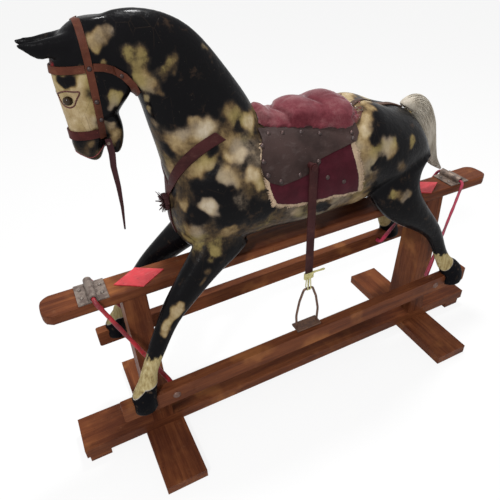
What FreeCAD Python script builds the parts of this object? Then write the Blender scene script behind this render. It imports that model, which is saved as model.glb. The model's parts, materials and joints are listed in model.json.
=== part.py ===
"""Rocking horse on a swing-iron stand.

Frame: +Z up, the floor at Z = 0, the head towards -X, the horse's near (left) side
towards -Y.  The origin is on the floor, midway along and across the bottom rail.
Lengths are in millimetres.
"""
import FreeCAD, Part, Sketcher
import math
import os
import re

from FreeCAD import Placement, Rotation, Vector

DRIVING_DIMENSIONS = (
    # stand
    ("bottom_rail_length", 1300), ("bottom_rail_width", 105), ("bottom_rail_thickness", 31),
    ("top_rail_length", 1270), ("top_rail_width", 75), ("top_rail_thickness", 25),
    ("stand_height", 505), ("rail_corner_radius", 18), ("rail_edge_radius", 3),
    ("foot_length", 450), ("foot_width", 106), ("foot_thickness", 28), ("foot_spacing", 876),
    ("end_block_length", 55), ("end_block_inset", 6),
    ("post_thickness", 55), ("post_head_width", 70), ("tenon_length", 14), ("tenon_thickness", 28),
    ("diamond_length", 116), ("diamond_thickness", 2.5), ("diamond_spacing", 826),
    # bearing brackets and their screws
    ("bracket_length", 66), ("bracket_plate", 3), ("bracket_wall", 3.5), ("bracket_margin", 2),
    ("screw_spacing", 44), ("screw_gauge", 4), ("screw_length", 18), ("screw_row", 30),
    ("stand_screw_gauge", 6), ("stand_screw_length", 50),
    # swing irons and the linkage that they make with the hoof rails
    ("iron_diameter", 12), ("iron_spacing", 1042), ("iron_drop", 287), ("iron_lean", 23.2),
    ("iron_bend_radius", 14), ("iron_side_gap", 3), ("iron_foot_inset", 16),
    ("pivot_spacing", 795), ("pivot_clearance", 0.05), ("slot_clearance", 0.7), ("slot_travel", 7.8),
    ("slot_wall", 5),
    ("nut_diameter", 19), ("nut_thickness", 5), ("nut_gap", 0.5),
    # hoof rails
    ("hoof_rail_length", 1034), ("hoof_rail_width", 25), ("hoof_rail_height", 47),
    ("hoof_rail_spacing", 265), ("hoof_rail_forward", 8),
    ("hoof_rail_corner_radius", 6),
    # carved horse
    ("barrel_rise", 432.7), ("pivot_reach", 408), ("barrel_width", 230), ("barrel_depth", 272),
    ("cavity_length", 330), ("cavity_width", 120), ("cavity_depth", 110), ("cavity_shift", 20),
    ("hoof_drop", 31), ("eye_diameter", 17),
    # saddlery
    ("layer_gap", 0.3), ("leather", 3), ("cloth", 2), ("strap_width", 18),
    ("bridle_width", 12), ("bridle_leather", 2.5), ("bit_diameter", 6), ("rosette_diameter", 44),
    ("cushion_rise", 97), ("seat_edging", 8), ("flap_gap", 88),
    ("nail_diameter", 8), ("nail_height", 2.5), ("tail_plug_diameter", 30),
    # stirrups
    ("hanger_diameter", 6), ("hanger_head", 14), ("hanger_sink", 25), ("stirrup_clearance", 8),
    ("stirrup_strap_width", 20), ("stirrup_strap_length", 289), ("stirrup_drop", 36),
    ("tie_height", 22), ("tie_ring_width", 8), ("tie_thickness", 3),
    ("stirrup_width", 70), ("stirrup_height", 124), ("stirrup_top", 24), ("stirrup_bar", 6),
    ("tread_width", 30), ("tread_thickness", 5),
)

doc = FreeCAD.newDocument("rocking_horse")
sheet = doc.addObject("Spreadsheet::Sheet", "driving_dimensions")
for row, (alias, value) in enumerate(DRIVING_DIMENSIONS, start=1):
    sheet.set("A%d" % row, alias)
    sheet.set("B%d" % row, str(value))
    sheet.setAlias("B%d" % row, alias)
doc.recompute()
ALIASES = {alias for alias, value in DRIVING_DIMENSIONS}
pieces = []


def size(alias):
    """The value of one driving dimension."""
    return float(sheet.get(alias))


def formula(text):
    """An expression in which each driving dimension is read from the sheet."""
    return re.sub(r"[a-z_]+", lambda word: ("driving_dimensions." + word.group(0)
                  if word.group(0) in ALIASES else word.group(0)), text)


def bind(item, **expressions):
    """Bind properties of an object to the sheet; at_x, at_y and at_z place it."""
    for name, text in expressions.items():
        target = "Placement.Base." + name[-1] if name.startswith("at_") else name
        item.setExpression(target, formula(text))
    return item


def piece(item, label):
    """Give an object the name of its sub-part and keep it for the export."""
    item.Label = label
    pieces.append(item)
    return item


def carved(label, shape):
    """A sub-part whose shape is worked out with Part's own functions."""
    feature = doc.addObject("Part::Feature", label)
    feature.Shape = shape
    feature.Placement = Placement()
    return piece(feature, label)


def one_solid(shape):
    """The largest solid of a shape that a cut may have left with slivers."""
    return max(shape.Solids, key=lambda solid: solid.Volume)


def plank(name, length, width, height, x, y, z):
    """A box, centred on x and y, that stands on z."""
    item = doc.addObject("Part::Box", name)
    bind(item, Length=length, Width=width, Height=height)
    bind(item, at_x="%s - (%s) / 2" % (x, length), at_y="%s - (%s) / 2" % (y, width), at_z=z)
    return item


def rod(name, radius, height, x, y, z, axis=Vector(0, 0, 1)):
    """A cylinder from a point along an axis."""
    item = doc.addObject("Part::Cylinder", name)
    item.Placement = Placement(Vector(), Rotation(Vector(0, 0, 1), axis))
    bind(item, Radius=radius, Height=height)
    bind(item, at_x=x, at_y=y, at_z=z)
    return item


def joined(name, items):
    fuse = doc.addObject("Part::MultiFuse", name)
    fuse.Shapes = items
    return fuse


def minus(name, base, tool):
    cut = doc.addObject("Part::Cut", name)
    cut.Base = base
    cut.Tool = tool
    return cut


# ------------------------------------------------------------------ stand
ENDS = (("front", -1), ("rear", 1))
SIDES = (("left", -1), ("right", 1))
TOP_RAIL_BASE = "stand_height - top_rail_thickness"
BOTTOM_RAIL_TOP = "foot_thickness + bottom_rail_thickness"


def origin_plane(body, role):
    return next(plane for plane in body.Origin.OriginFeatures if plane.Role == role)


def sketch_on(body, name, role, corners):
    """A closed outline on one of a body's own origin planes; each corner is a pair of expressions."""
    sketch = body.newObject("Sketcher::SketchObject", name)
    sketch.AttachmentSupport = [(origin_plane(body, role), "")]
    sketch.MapMode = "FlatFace"
    points = [Vector(*(float(sheet.evalExpression(text)) for text in corner)) for corner in corners]
    for start, end in zip(points, points[1:] + points[:1]):
        sketch.addGeometry(Part.LineSegment(start, end), False)
    for line, (point, corner) in enumerate(zip(points, corners)):
        sketch.addConstraint(Sketcher.Constraint("Coincident", (line - 1) % len(points), 2, line, 1))
        for kind, value, text in zip(("DistanceX", "DistanceY"), point, corner):
            number = sketch.addConstraint(Sketcher.Constraint(kind, line, 1, value))
            sketch.setExpression("Constraints[%d]" % number, formula(text))
    return sketch


def mortises(name, base, depth):
    """The pair of post mortises in a rail."""
    return joined(name, [plank("%s_%s" % (name, end), "tenon_thickness", "post_head_width / 2", depth,
                               "%d * foot_spacing / 2" % way, "0", base) for end, way in ENDS])


def make_rails():
    """Top and bottom rails, mortised for the posts, with rounded corners."""
    blank = plank("top_rail_blank", "top_rail_length", "top_rail_width", "top_rail_thickness",
                  "0", "0", TOP_RAIL_BASE)
    doc.recompute()
    rounded = doc.addObject("Part::Fillet", "top_rail_rounded")
    rounded.Base = blank
    corners = [n for n, edge in enumerate(blank.Shape.Edges, start=1)
               if abs(edge.tangentAt(edge.FirstParameter).z) > 0.9]
    radius = size("rail_corner_radius")
    rounded.Edges = [(n, radius, radius) for n in corners]
    doc.recompute()
    eased = doc.addObject("Part::Fillet", "top_rail_eased")
    eased.Base = rounded
    top = rounded.Shape.BoundBox.ZMax
    rim = [n for n, edge in enumerate(rounded.Shape.Edges, start=1) if edge.BoundBox.ZMin > top - 0.01]
    eased.Edges = [(n, size("rail_edge_radius"), size("rail_edge_radius")) for n in rim]
    bearings = joined("top_rail_holes", [mortises("top_mortise", TOP_RAIL_BASE, "tenon_length")]
                      + screw_shanks("top_rail_screw_hole"))
    piece(minus("top_rail_cut", eased, bearings), "top_rail")
    plain = plank("bottom_rail_blank", "bottom_rail_length", "bottom_rail_width",
                  "bottom_rail_thickness", "0", "0", "foot_thickness")
    holes = [mortises("bottom_mortise", BOTTOM_RAIL_TOP + " - tenon_length", "tenon_length")]
    holes += stand_screw_shanks("bottom_rail_screw_hole")
    piece(minus("bottom_rail_cut", plain, joined("bottom_rail_holes", holes)), "bottom_rail")


def screw_places():
    """Centres of the four screws of each bearing bracket."""
    for end, way in ENDS:
        for side in (-1, 1):
            for row in (-1, 1):
                yield ("%s_%d_%d" % (end, side, row), "%d * iron_spacing / 2 + %d * screw_spacing / 2"
                       % (way, side), "%d * screw_row / 2" % row)


def screw_shanks(name):
    return [rod("%s_%s" % (name, tag), "screw_gauge / 2", "screw_length + bracket_plate", x, y,
                "stand_height - screw_length") for tag, x, y in screw_places()]


def stand_screw_shanks(name):
    """Two long screws up through each cross foot and the bottom rail into the post."""
    shanks = []
    for end, way in ENDS:
        for side in (-1, 1):
            shanks.append(rod("%s_%s_%d" % (name, end, side), "stand_screw_gauge / 2",
                              "stand_screw_length + foot_thickness",
                              "%d * foot_spacing / 2" % way, "%d * bottom_rail_width / 3" % side,
                              "foot_thickness / 4"))
    return shanks


def make_posts():
    """Two boards that taper upwards, tenoned into both rails."""
    for end, way in ENDS:
        body = doc.addObject("PartDesign::Body", "%s_post_body" % end)
        board = sketch_on(body, "%s_post_outline" % end, "YZ_Plane",
                          (("-bottom_rail_width / 2", BOTTOM_RAIL_TOP),
                           ("bottom_rail_width / 2", BOTTOM_RAIL_TOP),
                           ("post_head_width / 2", TOP_RAIL_BASE), ("-post_head_width / 2", TOP_RAIL_BASE)))
        pad = body.newObject("PartDesign::Pad", "%s_post_board" % end)
        pad.Profile = board
        bind(pad, Length="post_thickness")
        pad.Midplane = True
        bind(body, at_x="%d * foot_spacing / 2" % way)
        tenons = joined("%s_tenons" % end, [
            plank("%s_tenon_low" % end, "tenon_thickness", "post_head_width / 2", "tenon_length",
                  "%d * foot_spacing / 2" % way, "0", BOTTOM_RAIL_TOP + " - tenon_length"),
            plank("%s_tenon_high" % end, "tenon_thickness", "post_head_width / 2", "tenon_length",
                  "%d * foot_spacing / 2" % way, "0", TOP_RAIL_BASE)])
        tenoned = joined("%s_post_tenoned" % end, [body, tenons])
        bored = minus("%s_post_bored" % end, tenoned,
                      joined("%s_post_holes" % end, stand_screw_shanks("%s_post_hole" % end)))
        piece(bored, "%s_post" % end)


def make_feet():
    """Cross feet under the posts, and a packing block under each end of the bottom rail."""
    for end, way in ENDS:
        blank = plank("%s_foot_blank" % end, "foot_width", "foot_length", "foot_thickness",
                      "%d * foot_spacing / 2" % way, "0", "0")
        wells = [rod("%s_foot_well_%d" % (end, side), "stand_screw_gauge", "foot_thickness / 4",
                     "%d * foot_spacing / 2" % way, "%d * bottom_rail_width / 3" % side, "0")
                 for side in (-1, 1)]
        holes = joined("%s_foot_holes" % end, stand_screw_shanks("%s_foot_hole" % end) + wells)
        piece(minus("%s_foot_bored" % end, blank, holes), "%s_cross_foot" % end)
    blocks = [plank("%s_end_block" % end, "end_block_length", "bottom_rail_width - 2 * end_block_inset",
                    "foot_thickness",
                    "%d * ((bottom_rail_length - end_block_length) / 2 - end_block_inset)" % way, "0", "0")
              for end, way in ENDS]
    group = doc.addObject("Part::Compound", "end_block_pair")
    group.Links = blocks
    piece(group, "end_foot_blocks")
    screws = []
    for end, way in ENDS:
        for side in (-1, 1):
            head = rod("stand_screw_head_%s_%d" % (end, side), "stand_screw_gauge", "foot_thickness / 8",
                       "%d * foot_spacing / 2" % way, "%d * bottom_rail_width / 3" % side,
                       "foot_thickness / 8")
            shank = rod("stand_screw_shank_%s_%d" % (end, side), "stand_screw_gauge / 2",
                        "stand_screw_length + foot_thickness", "%d * foot_spacing / 2" % way,
                        "%d * bottom_rail_width / 3" % side, "foot_thickness / 4")
            screws.append(joined("stand_screw_%s_%d" % (end, side), [head, shank]))
    group = doc.addObject("Part::Compound", "stand_screw_set")
    group.Links = screws
    piece(group, "stand_screws")


def make_diamonds():
    """A raised diamond at each end of the top rail."""
    for end, way in ENDS:
        body = doc.addObject("PartDesign::Body", "%s_diamond_body" % end)
        outline = sketch_on(body, "%s_diamond_outline" % end, "XY_Plane",
                            (("-diamond_length / 2", "0"), ("0", "-top_rail_width / 2"),
                             ("diamond_length / 2", "0"), ("0", "top_rail_width / 2")))
        pad = body.newObject("PartDesign::Pad", "%s_diamond_pad" % end)
        pad.Profile = outline
        bind(pad, Length="diamond_thickness")
        bind(body, at_x="%d * diamond_spacing / 2" % way, at_z="stand_height")
        piece(body, "%s_rail_diamond" % end)


PIVOT_Z = "stand_height + bracket_plate + iron_diameter / 2 + pivot_clearance"


def make_brackets():
    """A bearing bracket across each end of the top rail, with a bore for the iron."""
    for end, way in ENDS:
        middle = "%d * iron_spacing / 2" % way
        width = "top_rail_width - 2 * bracket_margin"
        outer = "iron_diameter / 2 + pivot_clearance + bracket_wall"
        plate = plank("%s_bracket_plate" % end, "bracket_length", width, "bracket_plate",
                      middle, "0", "stand_height")
        web = plank("%s_bracket_web" % end, "2 * (%s)" % outer, width, "bracket_plate + iron_diameter / 2",
                    middle, "0", "stand_height")
        strap = rod("%s_bracket_strap" % end, outer, width, middle, "-(%s) / 2" % width, PIVOT_Z,
                    Vector(0, 1, 0))
        bore = rod("%s_bracket_bore" % end, "iron_diameter / 2 + pivot_clearance", "2 * top_rail_width",
                   middle, "-top_rail_width", PIVOT_Z, Vector(0, 1, 0))
        holes = joined("%s_bracket_holes" % end, [bore] + screw_shanks("%s_bracket_hole" % end))
        solid = joined("%s_bracket_solid" % end, [plate, web, strap])
        under = plank("%s_bracket_under" % end, "bracket_length", "top_rail_width", "bracket_wall * 4",
                      middle, "0", "stand_height - bracket_wall * 4")
        seated = minus("%s_bracket_seated" % end, solid, under)
        piece(minus("%s_bracket_bored" % end, seated, holes), "%s_bearing_bracket" % end)
    screws = []
    for tag, x, y in screw_places():
        head = doc.addObject("Part::Sphere", "bracket_screw_dome_" + tag)
        bind(head, Radius="screw_gauge", Angle1="0", at_x=x, at_y=y, at_z="stand_height + bracket_plate")
        shank = rod("bracket_screw_shank_" + tag, "screw_gauge / 2", "screw_length + bracket_plate", x, y,
                    "stand_height - screw_length")
        screws.append(joined("bracket_screw_" + tag, [head, shank]))
    group = doc.addObject("Part::Compound", "bracket_screw_set")
    group.Links = screws
    piece(group, "bracket_screws")


make_rails()
make_posts()
make_feet()
make_diamonds()
make_brackets()


# ------------------------------------------------------------------ swing irons and hoof rails
def linkage():
    """Upper and lower pivots of both irons, where the horse hangs at rest."""
    height = size("stand_height") + size("bracket_plate") + size("iron_diameter") / 2 \
        + size("pivot_clearance")
    drop, spacing = size("iron_drop"), size("pivot_spacing")
    lean = math.radians(size("iron_lean"))
    front_top = Vector(-size("iron_spacing") / 2, 0, height)
    rear_top = Vector(size("iron_spacing") / 2, 0, height)
    front_foot = front_top + Vector(drop * math.sin(lean), 0, -drop * math.cos(lean))
    reach = rear_top - front_foot
    along = (spacing ** 2 - drop ** 2 + reach.Length ** 2) / (2 * reach.Length)
    below = math.sqrt(spacing ** 2 - along ** 2)
    unit = Vector(reach).normalize()
    rear_foot = front_foot + unit * along + Vector(unit.z, 0, -unit.x) * below
    return {"front": (front_top, front_foot), "rear": (rear_top, rear_foot)}


PIVOTS = linkage()
FRONT_FOOT, REAR_FOOT = PIVOTS["front"][1], PIVOTS["rear"][1]
RAIL_LINE = REAR_FOOT - FRONT_FOOT
RAIL_TILT = math.degrees(math.atan2(RAIL_LINE.z, RAIL_LINE.x))
RAIL_SPACING, RAIL_WIDTH = size("hoof_rail_spacing"), size("hoof_rail_width")
RAIL_INNER = (RAIL_SPACING - RAIL_WIDTH) / 2
RAIL_OUTER = (RAIL_SPACING + RAIL_WIDTH) / 2
UP_Y = Vector(0, 1, 0)
FIT = size("layer_gap")


def cylinder(radius, start, end):
    return Part.makeCylinder(radius, (end - start).Length, start, end - start)


def rounded_path(points, radii):
    """Straight runs through the points, joined by tangent arcs; one radius for each inner point."""
    edges = []
    start = points[0]
    for before, corner, after, radius in zip(points, points[1:], points[2:], radii):
        back, ahead = (before - corner).normalize(), (after - corner).normalize()
        half = back.getAngle(ahead) / 2
        reach = radius / math.tan(half)
        middle = (back + ahead).normalize()
        top = corner + middle * (radius / math.sin(half) - radius)
        edges.append(Part.LineSegment(start, corner + back * reach).toShape())
        edges.append(Part.Arc(corner + back * reach, top, corner + ahead * reach).toShape())
        start = corner + ahead * reach
    edges.append(Part.LineSegment(start, points[-1]).toShape())
    return Part.Wire(edges)


def bar(points, bend_radii, bar_radius):
    """A round bar bent along a path."""
    path = rounded_path(points, bend_radii)
    section = Part.Wire([Part.Circle(points[0], points[1] - points[0], bar_radius).toShape()])
    return path.makePipeShell([section], True, False)


def rail_frame(shape):
    """Turn a shape, made level about the front pivots, to the slope of the hoof rails."""
    shape.rotate(FRONT_FOOT, UP_Y, -RAIL_TILT)
    return shape


def hoof_rail_blank(way):
    """One hoof rail without its pivot holes."""
    length, height = size("hoof_rail_length"), size("hoof_rail_height")
    middle = FRONT_FOOT + Vector(RAIL_LINE.Length / 2, 0, 0)
    corner = Vector(middle.x - length / 2 - size("hoof_rail_forward"),
                    way * RAIL_SPACING / 2 - RAIL_WIDTH / 2, middle.z - height / 2)
    return rail_frame(Part.makeBox(length, RAIL_WIDTH, height, corner))


def make_irons():
    """Each iron is one bent bar: across the top rail, down both sides, out into the hoof rails.

    The front iron goes right through the rails and carries its nuts; the rear iron ends inside
    them, in slots, and its nuts sit on the rails.
    """
    radius, bend = size("iron_diameter") / 2, size("iron_bend_radius")
    shoulder = size("top_rail_width") / 2 + size("iron_side_gap") + radius
    ankle = RAIL_INNER - size("iron_foot_inset")
    nut_radius, thickness = size("nut_diameter") / 2, size("nut_thickness")
    ball = (nut_radius ** 2 + thickness ** 2) / (2 * thickness)
    rim = math.degrees(math.asin((ball - thickness) / ball))
    reach = {"front": RAIL_OUTER + size("nut_gap") + thickness / 2,
             "rear": RAIL_OUTER - size("slot_wall") - FIT}
    seat = {"front": RAIL_OUTER + size("nut_gap"), "rear": RAIL_OUTER}
    for end, way in ENDS:
        top, foot = PIVOTS[end]
        tip = UP_Y * reach[end]
        path = [foot - tip, foot - UP_Y * ankle, top - UP_Y * shoulder,
                top + UP_Y * shoulder, foot + UP_Y * ankle, foot + tip]
        iron = bar(path, [bend] * (len(path) - 2), radius)
        carved("%s_swing_iron" % end, iron)
        nuts = []
        for side, out in SIDES:
            base = foot + UP_Y * (out * seat[end])
            cap = Part.makeSphere(ball, base + UP_Y * (out * (thickness - ball)), UP_Y * out, rim, 90, 360)
            nuts.append(one_solid(cap.cut(iron)))
        carved("%s_iron_nuts" % end, Part.makeCompound(nuts))


def pivot_slot(radius, foot, way):
    """A blind slot in a hoof rail, long enough for the rear iron's foot over the whole swing."""
    deep = RAIL_OUTER - size("slot_wall") - RAIL_INNER + 1
    start = Vector(foot.x, way * (RAIL_INNER - 1), foot.z)
    end = start + Vector(RAIL_LINE).normalize() * size("slot_travel")
    slot = cylinder(radius, start, start + UP_Y * (way * deep))
    slot = slot.fuse(cylinder(radius, end, end + UP_Y * (way * deep)))
    gate = Part.makeBox((end - start).Length, deep, 2 * radius,
                        Vector(start.x, min(start.y, start.y + way * deep), start.z - radius))
    gate.rotate(start, UP_Y, -RAIL_TILT)
    return slot.fuse(gate)


def make_hoof_rails():
    radius = size("iron_diameter") / 2
    for side, way in SIDES:
        rail = hoof_rail_blank(way)
        corners = [edge for edge in rail.Edges if abs(edge.tangentAt(edge.FirstParameter).y) > 0.9]
        rail = rail.makeFillet(size("hoof_rail_corner_radius"), corners)
        through = cylinder(radius + size("pivot_clearance"), FRONT_FOOT + UP_Y * (way * (RAIL_INNER - 1)),
                           FRONT_FOOT + UP_Y * (way * (RAIL_OUTER + 1)))
        slot = pivot_slot(radius + size("slot_clearance"), REAR_FOOT, way)
        carved("%s_hoof_rail" % side, one_solid(rail.cut(through).cut(slot)))


make_irons()
make_hoof_rails()


# ------------------------------------------------------------------ carved horse
# All of the horse is drawn about the middle of its barrel, and then moved to where the irons hold it.
HORSE_AT = FRONT_FOOT + Vector(size("pivot_reach"), 0, size("barrel_rise"))
BARREL_W, BARREL_D = size("barrel_width") / 2, size("barrel_depth") / 2
RING_POINTS = 12


def ring(x, y, z, depth, width, tilt=0, pinch=0):
    """A closed section: depth runs along the tilted upright in XZ, width along Y.

    A pinch above zero narrows the section towards the top of its depth.
    """
    upright = Vector(math.sin(math.radians(tilt)), 0, math.cos(math.radians(tilt)))
    points = []
    for step in range(RING_POINTS):
        angle = 2 * math.pi * step / RING_POINTS
        across = width * math.cos(angle) * (1 - pinch * math.sin(angle))
        points.append(Vector(x, y, z) + upright * (depth * math.sin(angle)) + UP_Y * across)
    spline = Part.BSplineCurve()
    spline.interpolate(points, PeriodicFlag=True)
    return Part.Wire([spline.toShape()])


def loft(rings):
    return Part.makeLoft(rings, True, False)


# x, z, share of the half depth, share of the half width
TRUNK = ((-320, -27, 0.10, 0.09), (-317, -26, 0.29, 0.26), (-310, -22, 0.51, 0.46),
         (-296, -15, 0.75, 0.66), (-258, -4, 0.94, 0.85),
         (-185, 4, 1.00, 0.98), (-70, 0, 0.91, 1.00), (20, -4, 0.91, 1.02), (85, 2, 0.905, 1.03),
         (130, 9, 0.955, 1.04), (205, 4, 0.83, 1.00), (262, -4, 0.70, 0.90), (320, -21, 0.53, 0.72),
         (362, -38, 0.30, 0.42))
# x, z, depth, width, tilt, pinch
NECK = ((-196, 62, 118, 86, 48, 0.15), (-216, 94, 124, 78, 46, 0.22), (-250, 180, 106, 59, 44, 0.30),
        (-276, 237, 93, 50, 39, 0.32), (-312, 285, 75, 43, 26, 0.28), (-352, 300, 66, 40, 6, 0.20),
        (-386, 300, 56, 36, -8, 0.15))
# x, z, depth, width; the sections lie level
HEAD = ((-398, 360, 24, 17), (-410, 338, 48, 31), (-417, 292, 63, 39), (-421, 250, 59, 39),
        (-430, 205, 47, 34), (-441, 172, 35, 28), (-448, 146, 27, 26), (-449, 128, 17, 19))
JAW = ((-408, 205, 20, 26), (-402, 180, 20, 25), (-400, 160, 17, 21), (-402, 142, 14, 18),
       (-404, 127, 8, 11))
EAR = ((-408, 318, 22, 9), (-440, 322, 21, 12), (-472, 325, 16, 10), (-500, 330, 9, 6), (-518, 333, 2, 2))
EAR_SPREAD = 20
# the rise of the barrel and the spacing of the hoof rails for which the legs are drawn
DRAWN_RISE, DRAWN_SPACING = 432.7, 265
# x, z, y, depth, width, tilt
FRONT_LEG = ((-205, -83, 45, 64, 34, 136), (-249, -120, 60, 52, 35, 136), (-305, -163, 76, 38, 31, 137),
             (-342, -194, 86, 32, 27, 137), (-374, -224, 95, 26, 24, 134), (-401, -258, 105, 22, 21, 128),
             (-426, -295, 115, 20, 19, 122), (-447, -331, 122, 18, 18, 116), (-460, -361, 127, 21, 20, 108))
FRONT_HOOF = ((-460, -361, 127, 21, 20), (-472, -387, 132, 26, 25), (-481, -413, 135, 30, 29))
REAR_LEG = ((250, -33, 66, 92, 44, 80), (236, -95, 84, 66, 42, 62), (262, -143, 98, 50, 36, 48),
            (300, -182, 107, 37, 29, 46), (337, -218, 113, 28, 24, 46), (368, -259, 118, 22, 20, 58),
            (388, -301, 123, 19, 18, 64), (406, -338, 128, 20, 19, 66), (424, -369, 132, 24, 23, 76))
REAR_HOOF = ((424, -369, 132, 24, 23), (438, -389, 136, 29, 27), (447, -409, 138, 33, 30))


def trunk_body(grow=0):
    longer = 1 + grow / TRUNK[-1][0]
    return loft([ring(longer * x, 0, rise, BARREL_D * depth + grow, BARREL_W * width + grow)
                 for x, rise, depth, width in TRUNK])


def neck_body(grow=0):
    return loft([ring(x, 0, rise, depth + grow, width + grow, tilt, pinch)
                 for x, rise, depth, width, tilt, pinch in NECK])


def head_body(grow=0):
    return loft([ring(x, 0, rise, depth + grow, width + grow, 90)
                 for x, rise, depth, width in HEAD])


def jaw_body(grow=0):
    return loft([ring(x, 0, rise, depth + grow, width + grow, 90)
                 for x, rise, depth, width in JAW])


def ear_body(way):
    return loft([ring(x, way * EAR_SPREAD, rise, depth, width) for x, rise, depth, width in EAR])


def leg_body(way, leg, hoof):
    """Leg and hoof in one piece of timber; the hoof reaches down over the hoof rail."""
    long, wide = size("barrel_rise") / DRAWN_RISE, way * RAIL_SPACING / DRAWN_SPACING
    limb = loft([ring(x, wide * y, long * z, depth, width, tilt) for x, z, y, depth, width, tilt in leg])
    foot = [ring(x, wide * y, long * z, depth, width, 90) for x, z, y, depth, width in hoof]
    x, z, y, depth, width = hoof[-1]
    beyond = x + size("pivot_reach")
    rail_top = beyond * math.tan(math.radians(RAIL_TILT)) + size("hoof_rail_height") / 2
    foot.append(ring(x, wide * y, rail_top - size("hoof_drop") - size("barrel_rise"), depth, width, 90))
    return one_solid(limb.fuse(Part.makeLoft(foot, True, False)))


def mirrored(shape):
    return shape.mirror(Vector(), UP_Y)


def mounted(label, shape):
    """A sub-part of the horse, moved from the drawing to where the irons hold it."""
    feature = carved(label, shape)
    feature.Placement = Placement(HORSE_AT, Rotation())
    return feature


# ------------------------------------------------------------------ tack
WHOLE = 1000
LEATHER, CLOTH = size("leather"), size("cloth")
BRIDLE = size("bridle_leather")
NAIL, NAIL_HEIGHT = size("nail_diameter") / 2, size("nail_height")
FLAP_BASE = CLOTH + 2 * FIT
SEAT_BASE = FLAP_BASE + LEATHER + FIT
CUSHION_BASE = SEAT_BASE + LEATHER + FIT

PLUG_INNER, PLUG_OUTER = Vector(314, 0, 33), Vector(303, 0, 67)
TAIL_PLUG = cylinder(size("tail_plug_diameter") / 2, PLUG_INNER, PLUG_OUTER)
HANGER = Vector(-39, 0, 52)
HANGER_HEAD_THICKNESS = 2
STRAP_Y = BARREL_W + size("stirrup_clearance")


def hanger_shape():
    """A pin out of the horse's side with a washer behind the stirrup strap and a head outside it."""
    pin, rim, half = size("hanger_diameter") / 2, size("hanger_head") / 2, BRIDLE / 2 + FIT
    root = HANGER - UP_Y * (BARREL_W - size("hanger_sink"))
    shank = cylinder(pin, root, HANGER - UP_Y * (STRAP_Y + half))
    washer = cylinder(rim, root, HANGER - UP_Y * (STRAP_Y - half))
    outside = STRAP_Y + half
    head = cylinder(rim, HANGER - UP_Y * outside, HANGER - UP_Y * (outside + HANGER_HEAD_THICKNESS))
    return shank.fuse(washer).fuse(head)


def skin(forms, base, thickness):
    """A layer of even thickness that starts a little way above some of the carved forms."""
    outer = [form(base + thickness) for form in forms]
    inner = [form(base) for form in forms]
    layer = outer[0]
    for form in outer[1:]:
        layer = layer.fuse(form)
    for form in inner:
        layer = layer.cut(form)
    return layer


def side_prism(outline, near, far):
    """Everything between two distances from the middle whose X and Z lie in an outline."""
    points = [Vector(x, near, z) for x, z in outline]
    return Part.Face(Part.makePolygon(points + points[:1])).extrude(UP_Y * (far - near))


def strip(width, *points):
    """The room taken by a strap that crosses the whole horse; its middle line is seen from the side."""
    edges = ([], [])
    for before, (x, z), after in zip(points[:1] + points, points, points[1:] + points[-1:]):
        along = Vector(after[0] - before[0], 0, after[1] - before[1]).normalize()
        for edge, way in zip(edges, (-1, 1)):
            edge.append((x - way * along.z * width / 2, z + way * along.x * width / 2))
    return side_prism(edges[0] + edges[1][::-1], -WHOLE / 2, WHOLE / 2)


def band(start, end, beside, width):
    """The room taken by a strap that runs over the left side of the horse from start towards end.

    Its middle lies in the plane of the three points, and it stops square at the start.
    """
    along, span = (end - start).normalize(), (end - start).Length
    across = along.cross(beside - start).normalize()
    inward = across.cross(along)
    room = Part.makeBox(span + width, span, width, Vector(0, -span / 2, -width / 2))
    room.Placement = Placement(start, Rotation(along, inward, across, "XYZ"))
    return room.common(block(-WHOLE, WHOLE, -WHOLE, 0, -WHOLE, WHOLE))


def block(x0, x1, y0, y1, z0, z1):
    return Part.makeBox(x1 - x0, y1 - y0, z1 - z0, Vector(x0, y0, z0))


def surface_point(form, x, z, way):
    """Where a line across the horse at x, z first meets a form, from one side."""
    outside = Vector(x, way * WHOLE / 2, z)
    line = Part.makeLine(outside, Vector(x, 0, z))
    hits = line.common(form).Vertexes
    return max((vertex.Point for vertex in hits), key=lambda point: way * point.y)


def dome(form, x, z, way, radius, height):
    """The domed head of a nail, flat against a form."""
    foot = surface_point(form, x, z, way)
    along = surface_point(form, x + 1, z, way) - foot
    up = surface_point(form, x, z + 1, way) - foot
    outward = along.cross(up).normalize() * -way
    ball = (radius ** 2 + height ** 2) / (2 * height)
    rim = math.degrees(math.asin((ball - height) / ball))
    return Part.makeSphere(ball, foot - outward * (ball - height), outward, rim, 90, 360)


def gathered(label, shapes):
    """Several like pieces that are kept as one sub-part."""
    mounted(label, Part.makeCompound([solid for shape in shapes for solid in shape.Solids]))


# bridle straps: x, z of the ends of the middle line
POLL, MOUTH_CORNER = (-424, 397), (-424, 167)
BROW_BACK, BROW_FRONT = (-431, 290), (-520, 290)
LATCH = ((-417, 291), (-401, 288), (-386, 281), (-370, 268), (-357, 250), (-352, 236), (-357, 215))
NOSE_BACK, NOSE_FRONT = (-411, 178), (-520, 178)
STUDS = ((-424, 290), (-424, 236), (-422, 203), (-380, 256))
EYE = (-463, -21, 239)
BIT = (-419, 159)
BIT_SPAN = 36
NOSEBAND_SHARE, STUD_SHARE = 1.3, 0.9
# outline of the loose rein strip, x and z, hanging from the bit
REIN = ((-424, 167), (-413, 167), (-411, 137), (-414, 113), (-414, 71), (-417, 27), (-423, -23),
        (-426, -23), (-423, 27), (-423, 71), (-425, 113), (-423, 139))


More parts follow.
